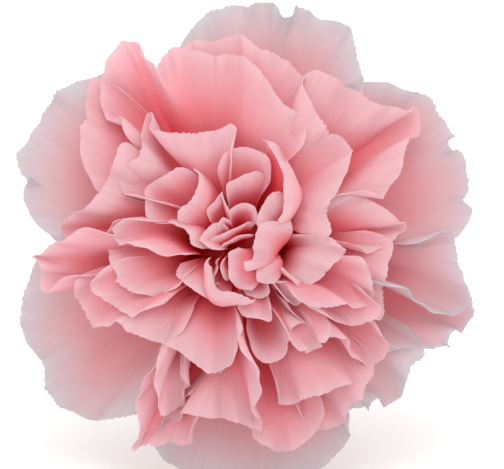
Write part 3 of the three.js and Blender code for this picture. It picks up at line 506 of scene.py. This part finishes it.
def crimped(sheet, below, along, v, arrive, ring, seed):
    """The sheet with waves along its normal near the margin, and teeth along its margin."""
    phase = np.random.default_rng(seed).uniform(0, 2 * math.pi, 6)
    height = BELLY * v * (1 - v) * crests(along, v, BELLY_WAVE, BELLY_TURN, phase[3])
    for (wave, share, reach, power, turning), start in zip(WAVES, phase):
        size = ring["ruffle"] * share * near_margin(below, reach, power)
        height += size * crests(along, v, wave, turning, start)
    sheet = sheet + height[..., None] * sheet_normals(sheet)
    return sheet + (ring["teeth"] * teeth(below, along, phase))[..., None] * arrive


print("waves near a margin, mm:", [wave for wave, *_ in WAVES])

# %% [markdown]
# One petal put together
#
# Here the steps of the formula come together: the ribs, the folds of the true margin, the lip,
# the waves and the teeth. Each step is worked out for the whole grid at once, which is quick
# enough for all the petals. A petal's number is the seed of its phases.

# %% The sheet of a petal


def petal_sheet(name, seed):
    """A petal's sheet as a grid of points, rows from root to margin, and its columns' places.

    Every rib is a cubic Bezier. It starts on the core, rises, and arrives at the calmed margin
    with the petal's lean. To that are added: the folds of the true margin, times the height
    share to a power, a lip that curls out over the last few millimetres, waves along the
    normal that die away from the margin, and fine teeth along the margin itself.
    """
    lift, lean, over, drawn = PETALS[name]
    ring = RINGS[name.split("_")[0]]
    margin, calm, normal, length = margin_lines(drawn, lift, ring["calm"])
    count = len(margin)
    share = np.linspace(0, 1, count)
    base = root_arc(margin, normal, over, ring)
    reach = calm[:, :2] - base[:, :2]
    distance = np.linalg.norm(reach, axis=1)[:, None]
    out = -normal if over else unit(reach / distance + SQUARE * normal)
    curl = ring["lip"] * np.clip(distance / LONG_ENOUGH, 0, 1)
    lip = curl * np.column_stack([out, np.full(count, -LIP_DROP)])
    end = calm - lip
    rise = base + np.column_stack([RISE_OUT * reach, RISE_UP * (end[:, 2] - base[:, 2])])
    slope = math.radians(lean)
    arrive = np.column_stack([math.cos(slope) * out, np.full(count, math.sin(slope))])
    arch = over * (ARCH_ENDS + (1 - ARCH_ENDS) * np.sin(math.pi * share) ** 0.5)[:, None]
    bend = end - (arch if over else HOLD * distance + HOLD_MORE) * arrive
    v = rib_shares(share, length, np.linalg.norm(end - base, axis=1))
    sheet = ((1 - v) ** 3 * base + 3 * (1 - v) ** 2 * v * rise + 3 * (1 - v) * v ** 2 * bend
             + v ** 3 * end)
    below = to_margin(sheet)
    at_lip = near_margin(below, LIP_REACH * ring["lip"] + TINY, 2)[..., None]
    folds = fold_rows(margin - calm, below.mean(axis=1), length / (count - 1))
    sheet = sheet + v ** FOLD_POWER * folds + at_lip * lip
    along = share * length
    return crimped(sheet, below, along, v[..., 0], arrive, ring, seed), along


trial, _ = petal_sheet("outer_top", 0)
print("grid of one petal:", trial.shape[0], "rows of", trial.shape[1], "points")

# %% [markdown]
# From a sheet to a solid petal
#
# A petal is about a third of a millimetre thick and thinner at its margin. The grid is copied
# to both sides along its normals, and the two copies are joined round the rim, so that the
# mesh is closed and light can be worked out on both faces. The same grid also gives what the
# colour needs: the distance of each point from the margin, and its place along it.

# %% A closed shell round a grid


def shell(sheet, thickness):
    """Points and four-sided faces of a closed shell: the grid offset to both sides, and its rim."""
    offset = sheet_normals(sheet) * thickness[..., None] / 2
    rows, columns = sheet.shape[:2]
    points = np.vstack([(sheet + offset).reshape(-1, 3), (sheet - offset).reshape(-1, 3)])
    at = np.arange(rows * columns).reshape(rows, columns)
    back = rows * columns
    a, b, c, d = (part.ravel() for part in (at[:-1, :-1], at[:-1, 1:], at[1:, 1:], at[1:, :-1]))
    front_faces = np.stack([a, b, c, d], axis=1)
    back_faces = np.stack([a, d, c, b], axis=1) + back
    rim = np.concatenate([at[0, :], at[1:, -1], at[-1, -2::-1], at[-2:0:-1, 0]])
    after = np.roll(rim, -1)
    rim_faces = np.stack([after, rim, rim + back, after + back], axis=1)
    return points, np.vstack([front_faces, back_faces, rim_faces])


def both_sides(grid):
    """A grid's values once for each side of its shell, as one list."""
    return np.tile(grid.reshape(-1, grid.shape[-1]), (2, 1))


def joined(shells):
    """Several shells as one: their points, their faces numbered on, and their other columns."""
    points, faces, *others = zip(*shells)
    starts = np.cumsum([0] + [len(part) for part in points[:-1]])
    faces = [part + start for part, start in zip(faces, starts)]
    return [np.vstack(column) for column in (points, faces, *others)]


print("shell round that grid:", len(shell(trial, np.ones(trial.shape[:2]))[1]), "faces")

# %% Mesh objects


def in_scene(name, data):
    """A new object with this mesh, lamp or camera, in the scene."""
    made = bpy.data.objects.new(name, data)
    bpy.context.scene.collection.objects.link(made)
    return made


SHARP = math.radians(50)                 # edges that turn by more than this stay sharp


def make_piece(name, points, faces, flow, tints=None, in_bloom=True):
    """A mesh object at the origin, smooth but for its sharp edges.

    `faces` is a list of arrays, each with faces of one size. The map `flow` and the tints are
    given for each point.
    """
    mesh = bpy.data.meshes.new(name)
    vertices = placed(points) if in_bloom else points / 1000
    mesh.from_pydata(vertices.tolist(), [], [face for part in faces for face in part.tolist()])
    corners = np.concatenate([part.ravel() for part in faces])
    mesh.uv_layers.new(name="flow").data.foreach_set("uv", flow[corners].ravel())
    if tints is not None:
        layer = mesh.color_attributes.new("tint", "FLOAT_COLOR", "POINT")
        layer.data.foreach_set("color", np.column_stack([tints, np.ones(len(tints))]).ravel())
    mesh.polygons.foreach_set("use_smooth", np.ones(len(mesh.polygons), bool))
    mesh.update()
    mesh.set_sharp_from_angle(angle=SHARP)
    piece = in_scene(name, mesh)
    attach(piece, "root")
    print(name, "has", len(mesh.polygons), "faces")
    return piece


def finished(piece, material, solid):
    """A piece gets its material, and the solid that it replaces is hidden."""
    piece.data.materials.append(material)
    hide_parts(solid)


print("edges stay sharp beyond", round(math.degrees(SHARP)), "degrees")

# %% [markdown]
# The colour of a petal
#
# A pink carnation is palest at the margin, where the blade is thin, turns to a warm pink over
# the first centimetre and is deep coral towards the root. Down in the hollows under the dome the
# tint turns deep coral as well: that is painted shade, for light that has gone through petal
# after petal. The guards at the back have faded to a pale, slightly grey pink. These steps follow
# the distance from the margin and the depth under the dome, so they are worked out for each point of the
# grid and kept as a colour attribute, which the material reads.

# %% Tints from the distance to the margin
PALE, FADED = np.array([0.90, 0.66, 0.70]), np.array([0.725, 0.69, 0.715])
# The deep coral is the colour of the roots, and also the painted shade in the hollows.
WARM, DEEP_ROOT_AND_SHADE = np.array([0.93, 0.385, 0.445]), np.array([0.92, 0.12, 0.15])

# For each ring: how warm its blade is at the rim, over how many mm it turns warm, the share of
# its height below which it turns deep, and how much painted shade of the deep coral it may take in a
# hollow.
BLUSH_AND_SHADE = {"guard": (0.0, 60, 0.5, 0.3), "outer": (0.15, 10, 0.6, 0.5), "middle": (0.1, 6, 0.7, 0.9),
         "inner": (0.15, 4.5, 0.8, 0.9), "heart": (0.3, 2.5, 0.9, 0.9)}
RIM_LINE = (0.2, 1.6)                    # mm: where the margin's pale line fades, and over how much
# The painted shade of a hollow starts at this depth under the dome and grows over the second one.
PAINTED_SHADE_DEPTH = (1.5, 9)                        # mm below the dome: where a hollow starts, and over how much
ROOT_FADE = 0.5                          # share of the height over which a blade turns deep

# Petals that stay pale further in, by so many mm, or turn warm sooner.
PALER = {"guard_two": -6, "guard_three": -14, "guard_four": -14, "guard_five": -6,
         "outer_ten": 3, "outer_top": 1, "outer_noon": 2, "outer_two": 4, "outer_half_seven": 4,
         "outer_half_six": 2, "middle_eleven": 3, "middle_nine": 3, "middle_three": 8,
         "middle_two": 2, "middle_seven": 2, "inner_one": 1.2, "inner_three": 1.6,
         "inner_seven": 1.4, "inner_four": 3, "inner_five": 3, "inner_two": 2, "heart_nine": 2}


def ramp(values, start, width):
    """0 up to the start, then evenly up to 1 over the width."""
    return np.clip((values - start) / width, 0, 1)


def blend(a, b, share):
    """The colour that is `share` of the way from a to b, for a whole grid of shares."""
    return a + (b - a) * share[..., None]


def petal_tints(ring_name, below, v, pale, hollow):
    """Pale at the margin, warm below it and deep towards the root; deep coral down in the hollows is
    painted shade.
    """
    rim = FADED if ring_name == "guard" else PALE
    warmth, reach, deep_from, most_shade = BLUSH_AND_SHADE[ring_name]
    body = blend(rim, WARM, warmth + (1 - warmth) * ramp(below, pale, reach))
    body = blend(rim, body, ramp(below, *RIM_LINE))
    # Painted shade: the further below the dome, the more of the deep coral.
    painted_shade = most_shade * ramp(hollow, *PAINTED_SHADE_DEPTH)
    return blend(body, DEEP_ROOT_AND_SHADE, np.maximum(ramp(deep_from - v, 0, ROOT_FADE), painted_shade))


some_tint = petal_tints("outer", np.array([5.0]), np.array([0.8]), 0, np.array([0.0]))[0]
print("tint 5 mm below an outer margin:", some_tint.round(2))

# %% [markdown]
# Veins and lines
#
# Petals, leaves and stems have fine lines along their length. One function makes them for
# every material: a noise that is stretched along the piece's own map shifts its tint a little
# and raises its surface by a few hundredths of a millimetre.

# %% Fine lines along a piece
COLOUR_A, COLOUR_B, COLOUR_OUT = 6, 7, 2      # a Mix node's colour sockets; its named ones are numbers
NOISE_LOW, NOISE_HIGH = 0.3, 0.7         # a noise mostly stays between these
LINE_HEIGHT = 0.0002                     # m: how far the lines raise a surface


def node(tree, kind, **values):
    """A new shader node with its sockets or properties set by name."""
    made = tree.nodes.new(kind)
    for key, value in values.items():
        if key in made.inputs:
            made.inputs[key].default_value = value
        else:
            setattr(made, key, value)
    return made


def new_material(name):
    """A material with nodes, and its node tree."""
    material = bpy.data.materials.new(name)
    material.use_nodes = True
    return material, material.node_tree


def fine_lines(tree, tint, stretch, noise, shades, strength):
    """The tint's socket with lines over it, and the socket of the normal that they raise."""
    along = node(tree, "ShaderNodeUVMap", uv_map="flow")
    stretched = node(tree, "ShaderNodeMapping", Scale=(*stretch, 1))
    lines = node(tree, "ShaderNodeTexNoise", Scale=1.0, Detail=noise[0], Roughness=noise[1])
    shade = node(tree, "ShaderNodeMapRange",
                 **{"From Min": NOISE_LOW, "From Max": NOISE_HIGH,
                    "To Min": shades[0], "To Max": shades[1]})
    lined = node(tree, "ShaderNodeMix", data_type="RGBA", blend_type="MULTIPLY", Factor=1.0)
    bump = node(tree, "ShaderNodeBump", Strength=strength, Distance=LINE_HEIGHT)
    link = tree.links.new
    link(along.outputs["UV"], stretched.inputs["Vector"])
    link(stretched.outputs["Vector"], lines.inputs["Vector"])
    link(lines.outputs["Fac"], shade.inputs["Value"])
    link(lines.outputs["Fac"], bump.inputs["Height"])
    link(tint, lined.inputs[COLOUR_A])
    link(shade.outputs["Result"], lined.inputs[COLOUR_B])
    return lined.outputs[COLOUR_OUT], bump.outputs["Normal"]


print("fine lines raise a surface by", LINE_HEIGHT * 1000, "mm at most")

# %% [markdown]
# The petal material
#
# Petals are matte and let light through. The material mixes a rough diffuse surface with a
# translucent one of the same tint, half and half. The veins run from root to margin.

# %% The petal material


def petal_finish():
    """Tint from the attribute, veins along the ribs, and light that comes through the blade."""
    material, tree = new_material("petal_skin")
    tree.nodes.clear()
    tint = node(tree, "ShaderNodeVertexColor", layer_name="tint")
    veined, raised = fine_lines(tree, tint.outputs["Color"], stretch=(2.4, 0.11),
                                noise=(3.0, 0.6), shades=(0.965, 1.03), strength=0.25)
    surface = node(tree, "ShaderNodeBsdfPrincipled", **{"Roughness": 0.75, "Specular IOR Level": 0.2})
    through = node(tree, "ShaderNodeBsdfTranslucent")
    both = node(tree, "ShaderNodeMixShader", Fac=0.5)
    output = node(tree, "ShaderNodeOutputMaterial")
    link = tree.links.new
    link(veined, surface.inputs["Base Color"])
    link(veined, through.inputs["Color"])
    link(raised, surface.inputs["Normal"])
    link(surface.outputs["BSDF"], both.inputs[1])
    link(through.outputs["BSDF"], both.inputs[2])
    link(both.outputs["Shader"], output.inputs["Surface"])
    return material


petal_material = petal_finish()
print("petal material:", len(petal_material.node_tree.nodes), "nodes")

# %% [markdown]
# The five rings
#
# The petals of a ring are joined into one piece. Their shells pass through each other a little
# near the roots, as real petals press into each other there, and nothing of that shows. What
# would go through the table is pressed flat on it, as a real petal would be.

# %% Petals, ring by ring
SHEET, THINNER = 0.3, 0.45               # thickness of a blade, mm, and how much less at its margin


def petal_shell(name, seed):
    """Points, faces, map and tints of one petal."""
    sheet, along = petal_sheet(name, seed)
    v = np.linspace(0, 1, ROWS)[:, None] * np.ones((1, sheet.shape[1]))
    below = to_margin(sheet)
    # How far each point lies below the dome, which sets the painted shade of the hollows.
    hollow = dome(sheet[..., 0], sheet[..., 1]) - sheet[..., 2]
    tint = petal_tints(name.split("_")[0], below, v, PALER.get(name, 0), hollow)
    flow = np.stack([along + 0 * below, below], axis=-1)
    return *shell(sheet, SHEET * (1 - THINNER * v)), both_sides(flow), both_sides(tint)


def on_the_table(points):
    """The same points with nothing below the table: what would go through it is pressed flat."""
    short = np.maximum(0.0, -placed(points)[:, 2]) * 1000
    lifted = points.copy()
    lifted[:, 1] += short * math.cos(TILT)
    lifted[:, 2] += short * math.sin(TILT)
    return lifted


for ring_name in RINGS:
    points, faces, flow, tints = joined([petal_shell(name, seed) for seed, name in enumerate(PETALS, 1)
                                         if name.split("_")[0] == ring_name])
    piece = make_piece(ring_name + "_petals", on_the_table(points), [faces], flow, tints)
    finished(piece, petal_material, "petals")

# %% [markdown]
# The core and the turned pieces
#
# Deep in the bloom the claws of some fifty petals are pressed into one body. Only its colour
# shows, between the petals. It is a surface of revolution, as the ovary and the calyx nearly
# are: a profile of radii and heights, carried once round the axis. One function closes all of
# them. Its first and last rows shrink to a point, so nothing is left open at the poles.

# %% A surface carried round the axis
ROUND_MAP = 40                           # mm: width of the map round such a piece


def closed_round(rows):
    """Points and faces of a closed surface from rows of points round an axis, poles at both ends.

    Each row goes once round, with no repeated point. The row's faces join it to the next one,
    and a fan joins the first and the last row to their mean points.
    """
    count, around = rows.shape[:2]
    at = np.arange(count * around).reshape(count, around)
    on = np.roll(at, -1, axis=1)
    walls = np.stack([at[:-1], on[:-1], on[1:], at[1:]], axis=-1).reshape(-1, 4)
    poles = np.stack([rows[0].mean(axis=0), rows[-1].mean(axis=0)])
    first, last = np.full(around, count * around), np.full(around, count * around + 1)
    start = np.stack([on[0], at[0], first], axis=1)
    stop = np.stack([at[-1], on[-1], last], axis=1)
    return np.vstack([rows.reshape(-1, 3), poles]), [walls, np.vstack([start, stop])]


def round_rows(heights, radii, angles):
    """Rows of points: height and radius for each row and angle, as arrays that broadcast."""
    heights, radii, angles = np.broadcast_arrays(heights, radii, angles)
    return np.stack([radii * np.cos(angles), radii * np.sin(angles), heights], axis=-1)


def full_turn(count):
    """Angles of `count` points once round, as a row."""
    return np.linspace(0, 2 * math.pi, count, endpoint=False)[None, :]


def make_round_piece(name, rows, tint=None, in_bloom=True):
    """A piece from closed_round, mapped by place round the axis and distance along it, mm."""
    points, faces = closed_round(rows)
    around = np.linspace(0, ROUND_MAP, rows.shape[1], endpoint=False)
    along = length_along(rows[:, 0])
    flow = np.stack(np.broadcast_arrays(around[None, :], along[:, None]), axis=-1).reshape(-1, 2)
    flow = np.vstack([flow, [[0, 0], [0, along[-1]]]])
    tints = None if tint is None else np.tile(tint, (len(points), 1))
    return make_piece(name, points, faces, flow, tints, in_bloom)


some_faces = closed_round(round_rows(np.arange(3)[:, None], 1, full_turn(8)))[1]
print("three rows of eight points close with", [len(part) for part in some_faces], "faces")

# %% The core of claws
# Heights and radii of the core, mm. It is fluted a little by the claws.
CORE_PROFILE = [(-16, 0.2), (-15.6, 3.2), (-13.5, 4.9), (-4, 5.5), (0, 5.9), (1.6, 7.6), (4, 8.6), (7, 8.4),
                (11, 7), (15, 4.6), (17.5, 2.2), (18.3, 0.2)]
FLUTES, FLUTE_DEPTH = 13, 0.03           # how many, and their depth as a share of the radius
AROUND = 64                              # points round the core and the ovary

core_line, _ = smooth_line(CORE_PROFILE, 60)
flutes = 1 + FLUTE_DEPTH * np.cos(FLUTES * full_turn(AROUND))
core_rows = round_rows(core_line[:, :1], core_line[:, 1:] * flutes, full_turn(AROUND))
finished(make_round_piece("core", core_rows, DEEP_ROOT_AND_SHADE), petal_material, "petals")

# %% [markdown]
# Greens
#
# The calyx, the stem and the leaves are smooth and waxy. A carnation's greens are greyed by a
# thin bloom of wax, which is thicker in some places than in others. One function makes the
# three greens: two tones of one colour are mixed by a soft noise, and the fine lines follow
# the piece's length.

# %% The green materials


def green_finish(name, fresh, waxy, lines_across, roughness, patch_size):
    """Two tones mixed by a soft noise on object coordinates, with fine lines along the piece."""
    material, tree = new_material(name)
    surface = tree.nodes["Principled BSDF"]
    surface.inputs["Roughness"].default_value = roughness
    surface.inputs["Specular IOR Level"].default_value = 0.35
    place = node(tree, "ShaderNodeTexCoord")
    patches = node(tree, "ShaderNodeTexNoise", Scale=1 / patch_size, Detail=4.0, Roughness=0.55)
    tones = node(tree, "ShaderNodeValToRGB")
    for stop, position, tone in zip(tones.color_ramp.elements, (0.38, 0.62), (fresh, waxy)):
        stop.position = position
        stop.color = (*tone, 1)
    link = tree.links.new
    link(place.outputs["Object"], patches.inputs["Vector"])
    link(patches.outputs["Fac"], tones.inputs["Fac"])
    lined, raised = fine_lines(tree, tones.outputs["Color"], stretch=(lines_across, 0.05 * lines_across),
                               noise=(2.0, 0.5), shades=(0.86, 1.12), strength=0.3)
    link(lined, surface.inputs["Base Color"])
    link(raised, surface.inputs["Normal"])
    return material


calyx_material = green_finish("calyx_skin", (0.22, 0.34, 0.15), (0.34, 0.46, 0.27), 1.6, 0.5, 0.006)
stem_material = green_finish("stem_skin", (0.15, 0.27, 0.14), (0.27, 0.40, 0.27), 1.2, 0.5, 0.009)
ovary_material = green_finish("ovary_skin", (0.45, 0.56, 0.28), (0.56, 0.65, 0.40), 1.0, 0.4, 0.004)
print("greens:", calyx_material.name, stem_material.name, ovary_material.name)

# %% [markdown]
# The calyx
#
# The calyx is a tube that ends in five teeth. Its wall is one surface: it goes up the outside
# to the edge, over it, and down the inside. The edge's height depends on the angle, so the
# teeth come from the same formula as the tube, and ten faint nerves run up to their tips and
# notches.

# %% The calyx tube
CALYX_WALL, THIN_EDGE = 0.9, 0.65        # mm, and the share of it that is missing at the edge
CALYX_PROFILE = [(-28, 3.4), (-26.5, 4.6), (-21, 5.9), (-12, 6.5), (-4, 6.9), (0.2, 7.5)]
TEETH, TOOTH_DEPTH = 5, 4.6
FIRST_NOTCH = math.radians(18)
INNER_DROP = 0.1                         # mm: how much lower the edge is on the inside
NERVE = 0.09                             # mm: height of a nerve
CALYX_GRID = (60, 200)                   # rows of a wall, and points round it

calyx_line, _ = smooth_line(CALYX_PROFILE, 80)


def calyx_radius(height):
    """Radius of the calyx at a height: its smooth profile, read as a table."""
    return np.interp(height, calyx_line[:, 0], calyx_line[:, 1])


def calyx_edge(angle):
    """Height of the edge: it climbs from each notch to the tips beside it, steeply at first."""
    turn = 2 * math.pi / TEETH
    from_notch = np.abs((angle - FIRST_NOTCH + turn / 2) % turn - turn / 2) / (turn / 2)
    return CALYX_PROFILE[-1][0] - TOOTH_DEPTH * (1 - from_notch ** 0.8)


angles = full_turn(CALYX_GRID[1])
foot = CALYX_PROFILE[0][0]
up = np.linspace(0, 1, CALYX_GRID[0])[:, None]
outer_height = foot + up * (calyx_edge(angles) - foot)
nerves = NERVE * np.cos(2 * TEETH * (angles - FIRST_NOTCH)) * np.sin(math.pi * up ** 0.7)
outer_wall = round_rows(outer_height, calyx_radius(outer_height) + nerves, angles)
down = up[::-1]
inner_foot = foot + CALYX_WALL
inner_height = inner_foot + down * (calyx_edge(angles) - INNER_DROP - inner_foot)
wall = CALYX_WALL * (1 - THIN_EDGE * down ** 6)
inner_wall = round_rows(inner_height, calyx_radius(inner_height) - wall, angles)
calyx = make_round_piece("calyx_tube", np.concatenate([outer_wall, inner_wall]))
finished(calyx, calyx_material, "calyx")

# %% [markdown]
# Bracts and ovary
#
# Four small pointed scales hug the foot of the calyx. Each is a sheet bent round the tube,
# wide at its foot and narrow at its tip, made into a shell. The ovary stands inside on the
# bottom of the calyx, where only the solids show it, so it is a plain turned body with the
# faint furrows of its two halves.

# %% Bracts and ovary
BRACTS, BRACT_LENGTH, BRACT_WIDTH, BRACT_SHEET = 4, 11.0, 7.5, 0.5
BRACT_GRID = (24, 15)                    # rows and columns
BRACT_START, BRACT_GAP = 0.4, 0.12       # mm: above the calyx's foot, and off its skin
BRACT_OPENING, BRACT_DROOP = 0.9, 0.8    # mm: how far its tip opens, and its sides fall there
BRACT_TIP = 0.15                         # share of the width that is left at the tip
OVARY_PROFILE = [(-26.7, 0.2), (-26.5, 2.2), (-24, 3.3), (-21, 3.1), (-18.5, 1.9), (-17, 1.1),
                 (-16.6, 0.2)]
FURROW = 0.03                            # depth of a furrow, as a share of the radius


def bract_sheet(turn):
    """A scale on the tube: half its width falls with height to a power, and its tip opens."""
    t = np.linspace(0, 1, BRACT_GRID[0])[:, None]
    share = np.linspace(1, -1, BRACT_GRID[1])[None, :]
    height = foot + BRACT_START + BRACT_LENGTH * t
    radius = calyx_radius(height) + BRACT_GAP + BRACT_OPENING * t ** 2
    half = 0.5 * BRACT_WIDTH * (1 - (1 - BRACT_TIP) * t ** 1.7) / radius
    sheet = round_rows(height, radius, turn + share * half)
    sheet[..., 2] -= BRACT_DROOP * np.abs(share) * t
    return sheet


def strip_shell(sheet, thickness, width, length):
    """A shell round a strip, with a map of that width and length in mm."""
    rows, columns = sheet.shape[:2]
    grid = np.stack(np.meshgrid(np.linspace(0, width, columns), np.linspace(0, length, rows)), axis=-1)
    return *shell(sheet, np.full((rows, columns), thickness)), both_sides(grid)


bract_turns = (np.arange(BRACTS) + 0.25) * 2 * math.pi / BRACTS
points, faces, flow = joined([strip_shell(bract_sheet(turn), BRACT_SHEET, 7, 11) for turn in bract_turns])
finished(make_piece("bracts", points, [faces], flow), calyx_material, "calyx")

ovary_line, _ = smooth_line(OVARY_PROFILE, 40)
furrows = 1 - FURROW * np.cos(2 * full_turn(AROUND)) ** 8
ovary_rows = round_rows(ovary_line[:, :1], ovary_line[:, 1:] * furrows, full_turn(AROUND))
finished(make_round_piece("ovary_body", ovary_rows), ovary_material, "ovary")

# %% [markdown]
# The stem
#
# The stem is a round tube that swells at its joints and just under the calyx. It is carried
# along a smooth line through a few points, from the foot of the calyx to the cut end, which
# lies on the table. At every step of the line two directions square to it span the circle.

# %% The stem's line and tube
STEM_RADIUS, CLEARANCE = 2.2, 0.3        # mm: the second one is the gap under the calyx
STEM_FLARE, FLARE_LENGTH = 0.9, 6        # mm: how much wider it is under the calyx, and how far
STEM_LINE = [(0, 0, 0), (0.2, 9, -2.3), (1.4, 32, -8.6), (2.4, 56, -17.4), (1.2, 80, -25.5),
             (-1.4, 94, -28.6), (-3.2, 106, -29.9)]
STEM_STEPS, STEM_AROUND = 220, 48
JOINTS = [{"at": 0.34, "radius": 3.1}, {"at": 0.76, "radius": 3.3}]
JOINT_STRETCH = 1.25                     # half the length of a joint, in its radii

stem_start = placed(np.array([0, 0, foot - CLEARANCE])) * 1000
stem_line, stem_length = smooth_line(np.array(STEM_LINE) + stem_start, STEM_STEPS)


def swelling(share):
    """Radius along the stem: a bell round each joint, and a flare towards the calyx."""
    radius = STEM_RADIUS + STEM_FLARE * np.clip(1 - share * stem_length / FLARE_LENGTH, 0, 1) ** 0.5
    for joint in JOINTS:
        from_joint = (share - joint["at"]) * stem_length / (JOINT_STRETCH * joint["radius"])
        radius = np.maximum(radius, joint["radius"] * np.sqrt(np.clip(1 - from_joint ** 2, 0, 1)))
    return radius


def axes_along(line):
    """For each point of a line: its direction, the level one square to it, and the third one."""
    along = unit(np.gradient(line, axis=0))
    level = unit(np.cross(along, [0, 0, 1]))
    return along, level, np.cross(level, along)


def tube_rows(line, radii, around):
    """Circles round a line, each spanned by the two directions square to it."""
    _, level, third = axes_along(line)
    angles = full_turn(around)[..., None]
    ring = np.cos(angles) * third[:, None] + np.sin(angles) * level[:, None]
    return line[:, None] + radii[:, None, None] * ring


stem_radii = calmed(swelling(np.linspace(0, 1, STEM_STEPS))[:, None], 3)[:, 0]
stem_rows = tube_rows(stem_line, stem_radii, STEM_AROUND)
stem_rows[..., 2] = np.maximum(stem_rows[..., 2], 0)
finished(make_round_piece("stem", stem_rows, in_bloom=False), stem_material, "leafy_stem")

# %% [markdown]
# The leaves
#
# Carnation leaves are narrow, channelled and a little greyer than the stem. They sit in pairs
# at the joints, and the upper ones curl back over the stem. A leaf is a sheet: its midrib is a
# smooth line, its width swells in the lower third and runs out to a point, and its two halves
# rise from the midrib as the sides of a shallow gutter.

# %% Leaves
LEAVES = [
    {"joint": 0, "width": 4.6, "line": [(0, 0, 1), (-0.5, -7, 6), (-2.5, -15, 11), (-6.5, -24, 13)]},
    {"joint": 0, "width": 4.4, "line": [(0, 0, -1), (0.5, -6, -6.5), (3, -13, -11), (8, -21, -13)]},
    {"joint": 1, "width": 6.0,
     "line": [(-1, 0, 0), (-9, -8, 3), (-17, -22, 7), (-21, -38, 8), (-20, -52, 3)]},
    {"joint": 1, "width": 5.8,
     "line": [(1, 0, 0), (8, -10, 4), (15, -24, 6.5), (20, -40, 3), (24, -54, -3)]},
]
LEAF_GRID, LEAF_SHEET = (70, 17), 0.55   # rows and columns, and thickness in mm
LEAF_TIP, GUTTER = 0.12, 0.35            # shares of half the width: at the tip, and the gutter's depth


def leaf_sheet(leaf):
    """A gutter along the midrib: across it a point rises with its distance from the middle.

    The width is a least share plus a sine, whose top is nearer to the joint than to the tip.
    """
    root = stem_line[round(JOINTS[leaf["joint"]]["at"] * (STEM_STEPS - 1))]
    midrib, _ = smooth_line(np.array(leaf["line"], float) + root, LEAF_GRID[0])
    _, across, upwards = axes_along(midrib)
    t = np.linspace(0, 1, LEAF_GRID[0])
    swell = np.sin(math.pi * (0.18 + 0.8 * t) ** 0.8) ** 0.8
    half = 0.5 * leaf["width"] * (LEAF_TIP + (1 - LEAF_TIP) * swell)[:, None]
    share = np.linspace(-1, 1, LEAF_GRID[1])
    aside = (half * share)[..., None] * across[:, None]
    rise = (GUTTER * half * np.abs(share) ** 1.3)[..., None] * upwards[:, None]
    return midrib[:, None] + aside + rise


points, faces, flow = joined([strip_shell(leaf_sheet(leaf), LEAF_SHEET, 5, 50) for leaf in LEAVES])
points[:, 2] = np.maximum(points[:, 2], 0)
finished(make_piece("leaves", points, [faces], flow, in_bloom=False), stem_material, "leafy_stem")

# %% [markdown]
# Table, light and camera
#
# The photo has a plain white ground and soft light from all sides, a little stronger from
# above. A pale table, a white sky and one large lamp above the camera give that. The camera
# looks straight into the bloom, as far away as a long lens would be, so the lens follows from
# the width of the view at the bloom.

# %% The table and the light
HALF = 8                                 # m: half the width of the table
table_mesh = bpy.data.meshes.new("table")
table_mesh.from_pydata([(-HALF, -HALF, 0), (HALF, -HALF, 0), (HALF, HALF, 0), (-HALF, HALF, 0)],
                       [], [(0, 1, 2, 3)])
in_scene("table", table_mesh)
table_material, table_tree = new_material("table")
table_skin = table_tree.nodes["Principled BSDF"]
table_skin.inputs["Base Color"].default_value = (0.95, 0.95, 0.95, 1)
table_skin.inputs["Roughness"].default_value = 0.9
table_mesh.materials.append(table_material)

world = bpy.data.worlds.new("studio")
world.use_nodes = True
sky = world.node_tree.nodes["Background"]
sky.inputs["Color"].default_value = (1, 1, 1, 1)
sky.inputs["Strength"].default_value = 1.17
bpy.context.scene.world = world

LAMP_PLACE, LAMP_AIM = mathutils.Vector((0.0, -0.7, 0.95)), mathutils.Vector((0, 0, 0.04))
lamp = bpy.data.lights.new("key", "AREA")
lamp.energy = 3.0
lamp.size = 0.8
key = in_scene("key", lamp)
key.location = LAMP_PLACE
key.rotation_euler = (LAMP_AIM - LAMP_PLACE).to_track_quat("-Z", "Y").to_euler()

# %% The camera
VIEW_WIDTH = 88.7                        # mm of the bloom's plane that the picture takes in
camera_data = bpy.data.cameras.new("camera")
camera_data.sensor_width = 36
camera_data.lens = camera_data.sensor_width * EYE[2] / VIEW_WIDTH
camera_data.clip_end = 20
camera = in_scene("camera", camera_data)
bpy.context.scene.camera = camera
right, above, back = (placed(axis) - placed(np.zeros(3)) for axis in np.eye(3))
turn = np.stack([right, above, back], axis=1) * 1000
camera.matrix_world = mathutils.Matrix(turn.tolist()).to_4x4()
camera.location = placed(EYE)
bpy.context.scene.view_settings.view_transform = "Standard"
print("lens:", round(camera_data.lens), "mm, camera at", [round(v, 3) for v in camera.location])
